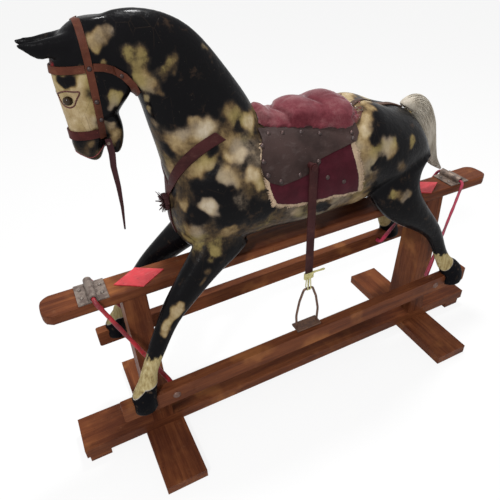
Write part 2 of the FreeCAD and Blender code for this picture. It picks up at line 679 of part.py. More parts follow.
def make_bridle(skull):
    """Strips of leather nailed round the head, a bit across the mouth and a loose end of rein."""
    ball = Part.makeSphere(size("eye_diameter") / 2, Vector(*EYE))
    eyes = ball.fuse(mirrored(ball))
    bit = cylinder(size("bit_diameter") / 2, Vector(BIT[0], -BIT_SPAN, BIT[1]),
                   Vector(BIT[0], BIT_SPAN, BIT[1]))
    skull = one_solid(skull.cut(eyes).cut(bit))
    mounted("head", skull)
    gathered("eyes", [ball, mirrored(ball)])
    mounted("bit", bit)
    leather = skin((head_body, neck_body), FIT, BRIDLE).cut(skull)
    width = size("bridle_width")
    headstall = one_solid(leather.common(strip(width, POLL, MOUTH_CORNER)))
    latch = one_solid(leather.common(strip(width, *LATCH)).cut(headstall))
    mounted("headstall", headstall)
    mounted("browband", one_solid(leather.common(strip(width, BROW_BACK, BROW_FRONT)).cut(headstall)))
    mounted("throat_latch", latch)
    nose = strip(width * NOSEBAND_SHARE, NOSE_BACK, NOSE_FRONT)
    mounted("noseband", one_solid(leather.common(nose).cut(headstall)))
    top = head_body(FIT + BRIDLE + FIT).fuse(neck_body(FIT + BRIDLE + FIT))
    gathered("bridle_studs", [dome(top, x, z, way, NAIL * STUD_SHARE, NAIL_HEIGHT)
                              for x, z in STUDS for side, way in SIDES])
    thong = side_prism(REIN, FIT - BIT_SPAN, FIT - BIT_SPAN + BRIDLE).cut(bit)
    mounted("rein_strip", one_solid(thong))


# breast strap: its upper end, the middle of the chest and a point of the shoulder between them;
# the martingale drops from its middle
BREAST = (Vector(-213, -65, 138), Vector(-314, 0, 17), Vector(-290, -58, 98))
MARTINGALE = (-83, 14)
ROSETTE = (-328, -6)


def make_breast_tack():
    """A strap round the chest, a strap down its middle and a leather boss where they meet."""
    leather = skin((trunk_body, neck_body), FIT, BRIDLE)
    width = size("strap_width")
    left = band(*BREAST, width)
    breast = one_solid(leather.common(left.fuse(mirrored(left))))
    mounted("breast_strap", breast)
    drop = leather.common(block(-WHOLE, 0, -width / 2, width / 2, *MARTINGALE)).cut(breast)
    mounted("martingale_strap", one_solid(drop))
    radius = size("rosette_diameter") / 2
    boss = cylinder(radius, Vector(ROSETTE[0] - LEATHER, 0, ROSETTE[1]),
                    Vector(ROSETTE[0] + radius, 0, ROSETTE[1]))
    held = trunk_body(FIT + BRIDLE + FIT).fuse(neck_body(FIT + BRIDLE + FIT))
    mounted("chest_rosette", one_solid(boss.cut(held)))


# the stuffed seat in three lobes: x, share of the cushion's rise above the seat's floor, half width
SEAT_FLOOR = 60
SEAT_CROWN = ((-150, 0.95, 66), (-112, 1.03, 68), (-90, 0.95, 72), (-74, 0.87, 76), (-54, 0.93, 80),
              (-28, 1.00, 84), (-2, 0.97, 88), (14, 0.93, 92), (36, 0.96, 97), (62, 0.98, 101),
              (92, 0.91, 100), (116, 0.78, 94), (150, 0.54, 84))
# half plan of the seat, x and y, from the pommel back
SEAT_PLAN = ((-113, 0), (-110, 30), (-88, 42), (-50, 48), (0, 58), (45, 70), (85, 76), (108, 68),
             (124, 42), (128, 0))
FLAP = ((-112, 217), (-128, 114), (-150, 75), (-147, 53), (-136, 40), (-111, 28), (-67, 32),
        (-37, 39), (-21, 44), (-12, 59), (21, 65), (48, 69), (82, 76), (93, 90), (98, 217))
SADDLE_CLOTH = ((-118, 217), (-140, 85), (-137, 32), (-125, -3), (-100, -21), (-60, -30), (-10, -33),
                (35, -34), (88, -41), (80, 7), (68, 52), (74, 217))
FLAP_NAILS = ((-109, 119), (-76, 114), (-35, 108), (5, 100), (77, 91), (76, 81), (-18, 55), (-66, 39),
              (-134, 106), (-142, 81), (-139, 55), (-112, 37))
CLOTH_NAILS = ((1, 17), (43, -3))
SEAT_REAR, CRUPPER_END = SEAT_PLAN[-1][0], 287


def seat_plan(margin):
    """The plan of the seat, widened all round, as a tall column."""
    middle = Vector((SEAT_PLAN[0][0] + SEAT_REAR) / 2, 0, 0)
    half = [Vector(x, y, 0) for x, y in SEAT_PLAN]
    half = [point + (point - middle).normalize() * margin for point in half]
    points = half + [Vector(point.x, -point.y, 0) for point in reversed(half[1:-1])]
    curve = Part.BSplineCurve()
    curve.interpolate(points, PeriodicFlag=True)
    return Part.Face(Part.Wire([curve.toShape()])).extrude(Vector(0, 0, WHOLE))


def make_saddle():
    """Cloths, flaps, seat base and cushion, one over another, with their nails."""
    neck, hanger = neck_body(FIT), hanger_shape()
    holes = cylinder(size("hanger_head") / 2 + FIT, HANGER - UP_Y * STRAP_Y, HANGER)
    over_middle = size("flap_gap") / 2
    for name, base, thickness, outline in (("saddle_cloth", FIT, CLOTH, SADDLE_CLOTH),
                                           ("saddle_flap", FLAP_BASE, LEATHER, FLAP)):
        layer = skin((trunk_body,), base, thickness)
        left = side_prism(outline, -WHOLE / 2, -over_middle).cut(holes)
        mounted("left_" + name, one_solid(layer.common(left).cut(neck)))
        mounted("right_" + name, one_solid(layer.common(mirrored(left)).cut(neck)))
    tall = block(-WHOLE, WHOLE, -WHOLE, WHOLE, 0, WHOLE)
    between = block(-WHOLE, WHOLE, FIT - over_middle, over_middle - FIT, 0, WHOLE)
    tree = skin((trunk_body,), FIT, SEAT_BASE - 2 * FIT).common(seat_plan(0)).common(between)
    mounted("saddle_tree", one_solid(tree.cut(neck)))
    base = skin((trunk_body,), SEAT_BASE, LEATHER).common(seat_plan(size("seat_edging"))).common(tall)
    mounted("saddle_base", one_solid(base.cut(neck)))
    crown = loft([ring(x, 0, SEAT_FLOOR, share * size("cushion_rise"), width)
                  for x, share, width in SEAT_CROWN])
    cushion = crown.cut(trunk_body(CUSHION_BASE)).common(seat_plan(0)).common(tall)
    mounted("saddle_seat", one_solid(cushion.cut(neck)))
    nails = []
    flap_top, cloth_top = trunk_body(FLAP_BASE + LEATHER + FIT), trunk_body(FIT + CLOTH + FIT)
    for side, way in SIDES:
        nails += [dome(flap_top, x, z, way, NAIL, NAIL_HEIGHT) for x, z in FLAP_NAILS]
        nails += [dome(cloth_top, x, z, way, NAIL, NAIL_HEIGHT) for x, z in CLOTH_NAILS]
    gathered("saddle_nails", nails)
    width = size("strap_width")
    crupper = skin((trunk_body,), FIT, BRIDLE)
    crupper = crupper.common(block(SEAT_REAR + size("seat_edging") + FIT, CRUPPER_END, -width / 2,
                                   width / 2, 0, WHOLE))
    mounted("crupper_strap", one_solid(crupper))
    mounted("left_stirrup_hanger", one_solid(hanger))
    mounted("right_stirrup_hanger", mirrored(one_solid(hanger)))


def make_horse():
    """Body in an upper and a lower block with a hollow between, neck, head, ears and four legs."""
    hangers = hanger_shape().fuse(mirrored(hanger_shape()))
    trunk, neck, head = trunk_body(), neck_body(), head_body()
    lower_space = block(-WHOLE, WHOLE, -WHOLE, WHOLE, -WHOLE, 0)
    half_length, half_width = size("cavity_length") / 2, size("cavity_width") / 2
    hollow = block(size("cavity_shift") - half_length, size("cavity_shift") + half_length,
                   -half_width, half_width, -size("cavity_depth") / 2, size("cavity_depth") / 2)
    shell = trunk.cut(hollow).cut(TAIL_PLUG).cut(hangers)
    mounted("body_lower_block", one_solid(shell.common(lower_space)))
    mounted("body_upper_block", one_solid(shell.cut(lower_space)))
    mounted("neck", one_solid(neck.cut(trunk)))
    skull = head.fuse(jaw_body()).cut(neck)
    for side, way in SIDES:
        skull = skull.fuse(ear_body(way).cut(neck))
    make_bridle(skull)
    for side, way in SIDES:
        rail = hoof_rail_blank(way)
        rail.translate(-HORSE_AT)
        for end, leg, hoof in (("front", FRONT_LEG, FRONT_HOOF), ("rear", REAR_LEG, REAR_HOOF)):
            mounted("%s_%s_leg" % (side, end), one_solid(leg_body(way, leg, hoof).cut(trunk).cut(rail)))


# x, z, depth, width, tilt of the bunched hair, from its root
TAIL = ((300, 57, 12, 12, -50), (306, 79, 22, 20, -30), (336, 75, 26, 23, 18), (361, 50, 28, 24, 45),
        (382, 16, 26, 24, 65), (397, -23, 23, 21, 72), (410, -59, 20, 18, 68), (428, -93, 14, 13, 55),
        (462, -120, 4, 4, 45))


def make_tail():
    hair = loft([ring(x, 0, z, depth, width, tilt) for x, z, depth, width, tilt in TAIL])
    mounted("tail_plug", TAIL_PLUG)
    mounted("tail", one_solid(hair.cut(TAIL_PLUG).cut(trunk_body(FIT + BRIDLE + FIT))))


# the stirrup's bow: bend radii from the tread up to the top bar, and how far each bend lies from
# its end of the bow, across and along
BOW_BENDS = (60, 40, 8)
BOW_FOOT_IN, BOW_HIP_UP, BOW_NECK_IN, BOW_NECK_DOWN = 2, 40, 8, 34
COIL_EASE = 2


def make_stirrup():
    """Left stirrup: strap on its hanger, a string tie, and the iron whose top bar the tie goes round."""
    reach, half = STRAP_Y, BRIDLE / 2
    width, low = size("stirrup_strap_width"), HANGER.z - size("stirrup_strap_length")
    strap = block(HANGER.x - width / 2, HANGER.x + width / 2, -reach - half, -reach + half,
                  low, HANGER.z)
    strap = strap.fuse(cylinder(width / 2, HANGER - UP_Y * (reach + half), HANGER - UP_Y * (reach - half)))
    strap = strap.cut(cylinder(size("hanger_diameter") / 2 + size("pivot_clearance"),
                               HANGER - UP_Y * WHOLE, HANGER))
    bar_height = low - size("stirrup_drop")
    bar_middle = Vector(HANGER.x, -reach, bar_height)
    bar_radius, ring_half = size("stirrup_bar") / 2, size("tie_ring_width") / 2
    eye = cylinder(bar_radius + size("tie_thickness"), bar_middle - Vector(ring_half, 0, 0),
                   bar_middle + Vector(ring_half, 0, 0))
    ring_top = bar_height + bar_radius + size("tie_thickness")
    coil_low = low - size("tie_height") / 3
    neck = block(HANGER.x - width / 2, HANGER.x + width / 2, -reach - half, -reach + half,
                 bar_height + bar_radius, low)
    neck = neck.cut(block(HANGER.x - width / 4, HANGER.x + width / 4, -reach - width, -reach + width,
                          ring_top, coil_low))
    coil = block(HANGER.x - width / 2 - COIL_EASE, HANGER.x + width / 2 + COIL_EASE,
                 -reach - 2 * half - COIL_EASE / 2, -reach + 2 * half + COIL_EASE / 2,
                 coil_low, coil_low + size("tie_height"))
    coil = coil.makeFillet(COIL_EASE, coil.Edges).fuse(neck).fuse(eye)
    bore = cylinder(bar_radius + size("pivot_clearance"), bar_middle - Vector(WHOLE, 0, 0),
                    bar_middle + Vector(WHOLE, 0, 0))
    mounted("left_stirrup_strap", one_solid(strap))
    mounted("left_stirrup_tie", one_solid(coil.cut(bore).cut(strap)))
    base = bar_height - size("stirrup_height") + size("tread_thickness")
    across, top = size("stirrup_width") / 2 - bar_radius, size("stirrup_top") / 2
    arch = [(across - BOW_FOOT_IN, base), (across, base + BOW_HIP_UP),
            (across - BOW_NECK_IN, bar_height - BOW_NECK_DOWN), (top, bar_height)]
    arch = [(-x, z) for x, z in arch] + arch[::-1]
    points = [Vector(HANGER.x + x, -reach, z) for x, z in arch]
    bow = bar(points, BOW_BENDS + BOW_BENDS[::-1], bar_radius)
    tread = block(HANGER.x - across - bar_radius, HANGER.x + across + bar_radius,
                  -reach - size("tread_width") / 2, -reach + size("tread_width") / 2,
                  base - size("tread_thickness"), base)
    mounted("left_stirrup_iron", one_solid(bow.fuse(tread)))


make_horse()
make_breast_tack()
make_saddle()
make_tail()
make_stirrup()


# ------------------------------------------------------------------ export
doc.recompute()
faults = [item.Name for item in doc.Objects
          if any(flag in item.State for flag in ("Invalid", "Error"))]
faults += [item.Label for item in pieces if item.Shape.isNull() or not item.Shape.isValid()]
if faults:
    raise RuntimeError("not built: " + ", ".join(faults))
os.makedirs("parts", exist_ok=True)
for item in pieces:
    item.Shape.exportStep("parts/%s.step" % item.Label)
print(len(pieces), "sub-parts written")
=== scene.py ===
"""Looks of the rocking horse: painted carving, tack, tail, stained stand, camera and light."""
import bpy
import json
import math
import random
import numpy
from mathutils import Matrix, Vector
from mathutils.bvhtree import BVHTree

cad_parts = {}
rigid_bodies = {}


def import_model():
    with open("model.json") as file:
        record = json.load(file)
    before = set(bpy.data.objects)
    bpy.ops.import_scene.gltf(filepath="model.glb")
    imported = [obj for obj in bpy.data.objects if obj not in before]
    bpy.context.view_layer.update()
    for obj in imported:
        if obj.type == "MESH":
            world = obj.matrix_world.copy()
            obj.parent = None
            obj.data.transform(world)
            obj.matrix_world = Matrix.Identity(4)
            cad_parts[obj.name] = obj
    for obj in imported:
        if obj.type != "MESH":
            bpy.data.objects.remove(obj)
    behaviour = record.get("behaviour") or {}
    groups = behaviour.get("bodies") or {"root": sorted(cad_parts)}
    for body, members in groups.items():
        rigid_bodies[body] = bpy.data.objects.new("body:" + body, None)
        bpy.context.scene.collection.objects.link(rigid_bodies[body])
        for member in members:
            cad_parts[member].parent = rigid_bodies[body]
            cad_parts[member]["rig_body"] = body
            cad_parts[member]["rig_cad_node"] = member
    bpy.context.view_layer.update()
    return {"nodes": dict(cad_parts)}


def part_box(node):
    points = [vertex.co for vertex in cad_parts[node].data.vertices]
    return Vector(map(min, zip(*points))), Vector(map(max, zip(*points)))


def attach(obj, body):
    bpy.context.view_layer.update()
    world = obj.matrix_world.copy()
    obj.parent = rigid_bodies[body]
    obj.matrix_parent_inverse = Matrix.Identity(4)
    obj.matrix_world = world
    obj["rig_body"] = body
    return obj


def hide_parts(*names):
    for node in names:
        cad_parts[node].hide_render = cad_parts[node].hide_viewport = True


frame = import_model()
nodes = frame["nodes"]
LEFT, RIGHT = -1, 1


# ---------------- camera and light
# the camera's place in metres and its turns in radians
CAMERA_AT = (-0.5376, -0.8678, 1.1821)
CAMERA_YAW, CAMERA_PITCH, CAMERA_ROLL = 0.4349, 0.6320, -0.0448
LENS, SENSOR, FARTHEST = 34.35, 36, 30
# name, place and width of each round lamp; both look at the middle of the horse
LAMPS = (("key", (-1.7, -1.7, 2.7), 0.36), ("top", (0.4, 0.6, 3.1), 0.42))
LAMP_POWER, LAMP_TARGET = 62, Vector((0, 0, 0.6))


def in_scene(name, data):
    """A new object of the scene that holds this data."""
    holder = bpy.data.objects.new(name, data)
    bpy.context.scene.collection.objects.link(holder)
    return holder


def place_camera():
    data = bpy.data.cameras.new("camera")
    data.lens, data.sensor_width, data.clip_end = LENS, SENSOR, FARTHEST
    camera = in_scene("camera", data)
    turn = Matrix.Rotation(-CAMERA_YAW, 4, "Z") @ Matrix.Rotation(math.pi / 2 - CAMERA_PITCH, 4, "X")
    turn = turn @ Matrix.Rotation(CAMERA_ROLL, 4, "Z")
    camera.matrix_world = Matrix.Translation(CAMERA_AT) @ turn
    bpy.context.scene.camera = camera


def place_lamps():
    for name, place, width in LAMPS:
        data = bpy.data.lights.new(name, "AREA")
        data.shape, data.size, data.energy = "DISK", width, LAMP_POWER
        aim = (LAMP_TARGET - Vector(place)).to_track_quat("-Z", "Y")
        in_scene(name, data).matrix_world = Matrix.Translation(place) @ aim.to_matrix().to_4x4()


# ---------------- shader sums and nodes
class Sum:
    """A number socket of a finish; sums written on it become Math nodes."""

    def __init__(self, finish, socket):
        self.finish, self.socket = finish, socket

    def math(self, operation, first, second):
        return self.finish.add("Math", {"operation": operation}, [first, second])

    def __add__(self, other):
        return self.math("ADD", self, other)

    def __sub__(self, other):
        return self.math("SUBTRACT", self, other)

    def __mul__(self, other):
        return self.math("MULTIPLY", self, other)

    def __rsub__(self, other):
        return self.math("SUBTRACT", other, self)

    __radd__, __rmul__ = __add__, __mul__

    def between(self, low, high):
        """0 below low, 1 above high, smooth between them."""
        return self.finish.add("MapRange", {"interpolation_type": "SMOOTHSTEP"},
                               {"Value": self, "From Min": low, "From Max": high})


class Finish:
    """A material that is built a node at a time."""

    def __init__(self, name, **sockets):
        self.material = bpy.data.materials.new(name)
        self.material.use_nodes = True
        self.tree = self.material.node_tree
        self.shader = self.tree.nodes["Principled BSDF"]
        self.give(**sockets)

    def add(self, kind, settings=None, values=(), output=0):
        """Any node: its settings first, then the values or links of its sockets."""
        node = self.tree.nodes.new("ShaderNode" + kind)
        for key, value in (settings or {}).items():
            if key == "stops":
                ramp = node.color_ramp
                while len(ramp.elements) < len(value):
                    ramp.elements.new(0.5)
                for element, (position, colour) in zip(ramp.elements, value):
                    element.position, element.color = position, (*colour, 1)
            else:
                setattr(node, key, value)
        pairs = values.items() if isinstance(values, dict) else enumerate(values)
        for key, value in pairs:
            self.set(node.inputs[key], value)
        return Sum(self, node.outputs[output])

    def set(self, socket, value):
        if isinstance(value, Sum):
            self.tree.links.new(value.socket, socket)
        elif isinstance(value, tuple) and socket.type == "RGBA" and len(value) == 3:
            socket.default_value = (*value, 1)
        else:
            socket.default_value = value

    def give(self, **sockets):
        """Feed sockets of the shader; their names have _ for a space."""
        for name, value in sockets.items():
            self.set(self.shader.inputs[name.replace("_", " ")], value)
        return self

    def place(self, stretch=(1, 1, 1)):
        """Where a point lies on the object, with the pattern stretched along the axes."""
        where = self.add("TexCoord", output="Object")
        return self.add("Mapping", values={"Vector": where, "Scale": stretch})

    def noise(self, scale, where=None, detail=4.0, rough=0.55, distortion=0.0):
        return self.add("TexNoise", values={"Vector": where or self.place(), "Scale": scale,
                                            "Detail": detail, "Roughness": rough, "Distortion": distortion})

    def edges(self, scale, where=None):
        """How far a point lies from the nearest edge between cells."""
        return self.add("TexVoronoi", {"feature": "DISTANCE_TO_EDGE"},
                        {"Vector": where or self.place(), "Scale": scale})

    def ramp(self, value, *stops):
        return self.add("ValToRGB", {"stops": stops}, [value])

    def mix(self, factor, first, second):
        return self.add("MixRGB", values=[factor, first, second])

    def layers(self, colour, *covers):
        """A colour under several others, each laid over by its share."""
        for share, cover in covers:
            colour = self.mix(share, colour, cover)
        return colour

    def attribute(self, name):
        return self.add("Attribute", {"attribute_name": name}, output="Fac")

    def bump(self, height, strength, depth, under=None):
        """A normal that follows a height, over the normal of what lies under it."""
        values = {"Height": height, "Strength": strength, "Distance": depth}
        if under:
            values["Normal"] = under
        return self.add("Bump", values=values)


# ---------------- finishes
# how many times finer the grain is across the timber than along it
ACROSS_GRAIN, ALONG_GRAIN = 26.0, 1.6


def wood_finish(name, along):
    """Old stained and varnished timber whose grain runs along one axis."""
    finish = Finish(name, Specular_IOR_Level=0.05, Coat_Roughness=0.3)
    place = finish.place(tuple(ALONG_GRAIN if axis == along else ACROSS_GRAIN for axis in "XYZ"))
    grain = finish.noise(1.0, place, 8.0, 0.62, 1.4)
    pores = finish.noise(11.0, place, 3.0, 0.7)
    cloud = finish.noise(5.0, detail=4.0)
    colour = finish.ramp(grain * 0.72 + pores * 0.28, (0.28, (0.036, 0.0105, 0.0055)),
                         (0.44, (0.088, 0.0255, 0.0110)), (0.56, (0.145, 0.0460, 0.0180)),
                         (0.72, (0.220, 0.0800, 0.0300)))
    worn = finish.noise(9.0, detail=3.0).between(0.52, 0.66) * (1 - cloud.between(0.4, 0.6))
    scuff = finish.noise(34.0, detail=7.0, rough=0.72).between(0.58, 0.70) * cloud.between(0.3, 0.65)
    nicks = finish.noise(210.0, detail=2.0).between(0.70, 0.74)
    colour = finish.layers(
        colour, (cloud.between(0.44, 0.70) * 0.60, (0.045, 0.0125, 0.0075)),
        (worn * 0.60, (0.285, 0.110, 0.036)), (scuff * 0.4, (0.190, 0.090, 0.050)),
        (nicks * 0.7, (0.016, 0.006, 0.005)))
    under = finish.bump(cloud, 0.3, 0.004)
    return finish.give(
        Base_Color=colour, Roughness=0.36 + 0.25 * grain + 0.12 * scuff,
        Coat_Weight=0.02 - 0.02 * scuff,
        Normal=finish.bump(pores * 0.5 + grain * 0.5 - nicks, 0.4, 0.0008, under))


def leather_finish(name, colour, worn, grain=420.0, rough=0.46, wear=0.7):
    """Old leather: fine cells, creases, and a paler rubbed surface."""
    finish = Finish(name, Specular_IOR_Level=0.08)
    cells = finish.edges(grain).between(0.0, 0.35)
    creases = finish.noise(36.0, finish.place((1.0, 1.0, 2.2)), 6.0, 0.68, 0.3)
    patches = finish.noise(15.0, detail=5.0)
    base = finish.mix(patches.between(0.35, 0.75), colour, tuple(part * 1.5 for part in colour))
    stained = (1 - patches.between(0.30, 0.52)) * 0.5
    base = finish.mix(stained, base, tuple(part * 0.45 for part in colour))
    rubbed = creases.between(0.50, 0.68) * patches.between(0.28, 0.6)
    colour = finish.mix(rubbed * wear, base, worn)
    specks = finish.noise(260.0, detail=2.0).between(0.73, 0.76)
    return finish.give(
        Base_Color=finish.mix(specks * 0.6, colour, tuple(part * 2.2 for part in worn)),
        Roughness=rough + 0.2 * rubbed + 0.08 * cells,
        Normal=finish.bump(creases, 0.5, 0.0014, finish.bump(cells, 0.3, 0.0004)))


def metal_finish(name, colour, tarnish, rough=0.42, spots=90.0):
    """Metal that has dulled in patches."""
    finish = Finish(name)
    cloud = finish.noise(spots, detail=6.0, rough=0.65)
    pits = finish.noise(spots * 6, detail=2.0)
    dull = cloud.between(0.42, 0.60)
    return finish.give(Base_Color=finish.mix(dull, colour, tarnish), Roughness=rough + 0.3 * cloud,
                       Metallic=0.85 - 0.7 * dull, Normal=finish.bump(pits + cloud, 0.35, 0.0005))


def enamel_finish(name, colour, under, rough=0.42, chips=0.62, dim=None):
    """Brushed enamel on metal or wood, chipped to what lies under it."""
    finish = Finish(name, Specular_IOR_Level=0.3)
    cloud = finish.noise(20.0, detail=5.0)
    strokes = finish.noise(60.0, finish.place((1.0, 4.0, 1.0)), 4.0)
    chip = finish.noise(150.0, detail=6.0, rough=0.7).between(chips, chips + 0.04)
    tone = finish.mix(cloud.between(0.3, 0.7), colour, dim or tuple(part * 0.62 for part in colour))
    tone = finish.mix(strokes.between(0.5, 0.8) * 0.15, tone, (0.62, 0.30, 0.28))
    return finish.give(Base_Color=finish.mix(chip, tone, under),
                       Roughness=rough + 0.3 * chip + 0.12 * strokes,
                       Normal=finish.bump(strokes - chip, 0.3, 0.0004))


# the tones of the horse's paint from palest to black, and the darkness at which they start
PALEST = -0.35
PAINT_TONES = ((0.02, (0.490, 0.410, 0.300)), (0.20, (0.345, 0.268, 0.158)),
               (0.34, (0.240, 0.172, 0.086)), (0.47, (0.140, 0.094, 0.045)),
               (0.60, (0.052, 0.034, 0.019)), (0.72, (0.013, 0.010, 0.008)),
               (0.86, (0.0028, 0.0026, 0.0032)))
# bare, brushed cream of the fetlocks
SOCK_TONES = ((0.32, (0.110, 0.072, 0.034)), (0.43, (0.270, 0.205, 0.090)),
              (0.60, (0.390, 0.320, 0.165)), (0.74, (0.520, 0.455, 0.310)))


def horse_paint():
    """Cream paint with smoky black dapples; the dapple attribute says how dark each place is."""
    finish = Finish("horse_paint", Specular_IOR_Level=0.03, Coat_Roughness=0.12)
    dapple, sock, hoof, red = (finish.attribute(name) for name in ("dapple", "sock", "hoof", "red"))
    smoke = finish.noise(64.0, detail=6.0, rough=0.66)
    cloud = finish.noise(19.0, detail=4.0, rough=0.6)
    streaks = finish.noise(85.0, finish.place((1.0, 1.0, 0.25)), 5.0, 0.7)
    dark = dapple + (smoke - 0.5) * 0.70 + (cloud - 0.5) * 0.35 + (streaks - 0.5) * 0.30
    colour = finish.ramp((dark - PALEST) * (1 / (1 - PALEST)), *PAINT_TONES)
    olive = finish.noise(11.0, detail=2.0).between(0.50, 0.66) * (1 - dark.between(0.3, 0.6))
    grey = finish.noise(8.0, detail=3.0, rough=0.6).between(0.52, 0.66) * (1 - dark.between(0.2, 0.7))
    rust = finish.noise(30.0, detail=6.0, rough=0.7).between(0.58, 0.72)
    chips = finish.noise(190.0, detail=6.0, rough=0.78).between(0.665, 0.69) * cloud.between(0.42, 0.6)
    cracks = finish.edges(30.0, finish.place((1.0, 1.0, 0.55)))
    cracks = (1 - cracks.between(0.0, 0.014)) * cloud.between(0.50, 0.60)
    lines = finish.noise(150.0, finish.place((1.0, 1.0, 0.06)), 3.0, 0.7)
    bare = finish.ramp(lines * 0.75 + smoke * 0.25, *SOCK_TONES)
    rim = hoof.between(0.02, 0.3) * (1 - hoof.between(0.4, 0.9))
    scuffed = finish.mix(smoke.between(0.56, 0.68), (0.003, 0.003, 0.004), (0.045, 0.030, 0.020))
    colour = finish.layers(
        colour, (olive * 0.45, (0.270, 0.225, 0.075)), (grey * 0.35, (0.300, 0.270, 0.235)),
        (rust * dark.between(0.45, 0.7) * 0.6, (0.040, 0.024, 0.015)),
        (chips * dark.between(0.4, 0.7) * 0.75, (0.220, 0.180, 0.130)),
        (chips * (1 - dark.between(0.2, 0.5)) * 0.8, (0.045, 0.028, 0.018)),
        (cracks * 0.35, (0.035, 0.022, 0.014)), (sock, bare), (red, (0.26, 0.012, 0.016)),
        (rim, (0.300, 0.270, 0.240)), (hoof.between(0.45, 0.55), scuffed))
    under = finish.bump(cloud, 0.5, 0.007)
    ripples = finish.noise(110.0, finish.place((1.0, 1.0, 0.5)), 3.0, 0.6)
    brushed = streaks * 0.4 + smoke * 0.3 + ripples * 0.3 + lines * sock * 0.6
    brushing = finish.bump(brushed, 0.6, 0.0022, under)
    return finish.give(Base_Color=colour, Roughness=0.18 + 0.24 * smoke + 0.2 * chips + 0.25 * sock,
                       Coat_Weight=0.08 * dark.between(0.3, 0.7) * (1 - sock),
                       Normal=finish.bump(cracks * 0.5 - chips, 0.4, 0.0006, brushing))


def velvet_finish():
    """Dusty red velvet whose nap is rubbed paler on the crowns, with painted shade darkening its sewn
    channels.
    """
    finish = Finish("red_velvet", Specular_IOR_Level=0.1, Sheen_Weight=0.35, Sheen_Roughness=0.4)
    nap = finish.noise(26.0, detail=6.0, rough=0.7)
    fine = finish.noise(420.0, detail=3.0, rough=0.7)
    dust = finish.noise(9.0, detail=3.0)
    tone = finish.ramp(nap * 0.7 + dust * 0.3, (0.36, (0.074, 0.010, 0.015)), (0.50, (0.130, 0.028, 0.036)),
                       (0.64, (0.195, 0.078, 0.082)))
    groove = finish.attribute("groove")
    # painted shade: the velvet is darkened in the sewn channels, where shade falls
    tone = finish.mix(groove * 0.75, tone, (0.055, 0.006, 0.010))
    tone = finish.mix(fine.between(0.35, 0.7) * 0.35, tone, (0.060, 0.008, 0.013))
    binding = finish.mix(nap.between(0.4, 0.6), (0.045, 0.017, 0.013), (0.115, 0.045, 0.030))
    return finish.give(Base_Color=finish.mix(finish.attribute("binding"), tone, binding),
                       Roughness=0.75 + 0.2 * nap, Normal=finish.bump(fine * 0.4 + nap, 0.6, 0.0016))


def felt_finish(name, colour, fluff):
    """Pressed or woven wool cloth with a little fluff."""
    finish = Finish(name, Specular_IOR_Level=0.05, Sheen_Weight=0.06)
    weave = finish.noise(520.0, detail=2.0)
    cloud = finish.noise(24.0, detail=6.0, rough=0.7)
    tone = finish.mix(cloud.between(0.35, 0.7), colour, tuple(part * 1.5 for part in colour))
    lint = finish.noise(140.0, detail=6.0, rough=0.8).between(0.64, 0.72)
    return finish.give(Base_Color=finish.mix(lint * 0.5, tone, fluff), Roughness=0.8 + 0.15 * weave,
                       Normal=finish.bump(weave * 0.5 + cloud, 0.5, 0.0010))


def strand_finish(name, light, dark, scale=(1.0, 1.0, 0.12), density=260.0):
    """Hair, string or thread: fine light and dark strands."""
    finish = Finish(name, Specular_IOR_Level=0.25)
    strands = finish.noise(density, finish.place(scale), 4.0, 0.65)
    locks = finish.noise(density * 0.16, finish.place(scale), 3.0)
    tone = finish.mix((strands * 0.5 + locks * 0.5).between(0.36, 0.62), dark, light)
    return finish.give(Base_Color=tone, Roughness=0.48 + 0.3 * strands,
                       Normal=finish.bump(strands * 0.6 + locks, 0.5, 0.0012))


def glass_finish(name):
    """A dark glass bead with a faintly mottled iris."""
    finish = Finish(name, Specular_IOR_Level=0.2)
    iris = finish.noise(300.0, detail=3.0)
    return finish.give(Base_Color=finish.mix(iris, (0.010, 0.007, 0.005), (0.040, 0.024, 0.012)),
                       Roughness=0.08 + 0.1 * iris)


GRAIN_X, GRAIN_Y, GRAIN_Z = (wood_finish("stained_wood_" + axis, axis) for axis in "XYZ")
PAINT = horse_paint()
BRIDLE = leather_finish("bridle_leather", (0.062, 0.019, 0.011), (0.125, 0.047, 0.027))
NOSE = leather_finish("nose_leather", (0.045, 0.010, 0.009), (0.110, 0.026, 0.020))
STRAP = leather_finish("strap_leather", (0.032, 0.009, 0.009), (0.075, 0.030, 0.026))
CRUPPER_LEATHER = leather_finish("crupper_leather", (0.060, 0.033, 0.023), (0.130, 0.085, 0.062))
DARK = leather_finish("dark_leather", (0.026, 0.009, 0.010), (0.065, 0.030, 0.028))
SADDLE = leather_finish("saddle_leather", (0.028, 0.017, 0.0155), (0.070, 0.052, 0.049),
                        rough=0.40, wear=0.5)
VELVET = velvet_finish()
FELT = felt_finish("burgundy_felt", (0.037, 0.0055, 0.0095), (0.085, 0.024, 0.028))
CANVAS = felt_finish("pale_canvas", (0.300, 0.220, 0.150), (0.42, 0.33, 0.25))
HAIR = strand_finish("horsehair", (0.430, 0.390, 0.325), (0.290, 0.250, 0.195))
STRING = strand_finish("string", (0.560, 0.520, 0.260), (0.330, 0.290, 0.110), (1.0, 1.0, 1.0), 900.0)
EYE = glass_finish("eye_bead")
LID_RED = enamel_finish("eye_lids_paint", (0.070, 0.015, 0.010), (0.02, 0.01, 0.008))
LIP_RED = enamel_finish("lip_line_paint", (0.190, 0.016, 0.018), (0.02, 0.01, 0.008))
MAROON = enamel_finish("maroon_enamel", (0.380, 0.016, 0.024), (0.05, 0.03, 0.025),
                       chips=0.58, dim=(0.085, 0.012, 0.018))
CRIMSON = enamel_finish("crimson_enamel", (0.420, 0.022, 0.065), (0.16, 0.03, 0.03),
                        chips=0.60, dim=(0.10, 0.03, 0.04))
DIAMOND_RED = enamel_finish("red_enamel", (0.50, 0.034, 0.044), (0.10, 0.03, 0.02))
NAIL = metal_finish("tarnished_nail", (0.060, 0.036, 0.033), (0.020, 0.010, 0.009), rough=0.3, spots=200.0)
CAST = metal_finish("cast_bracket", (0.21, 0.17, 0.145), (0.075, 0.050, 0.040), spots=55.0)
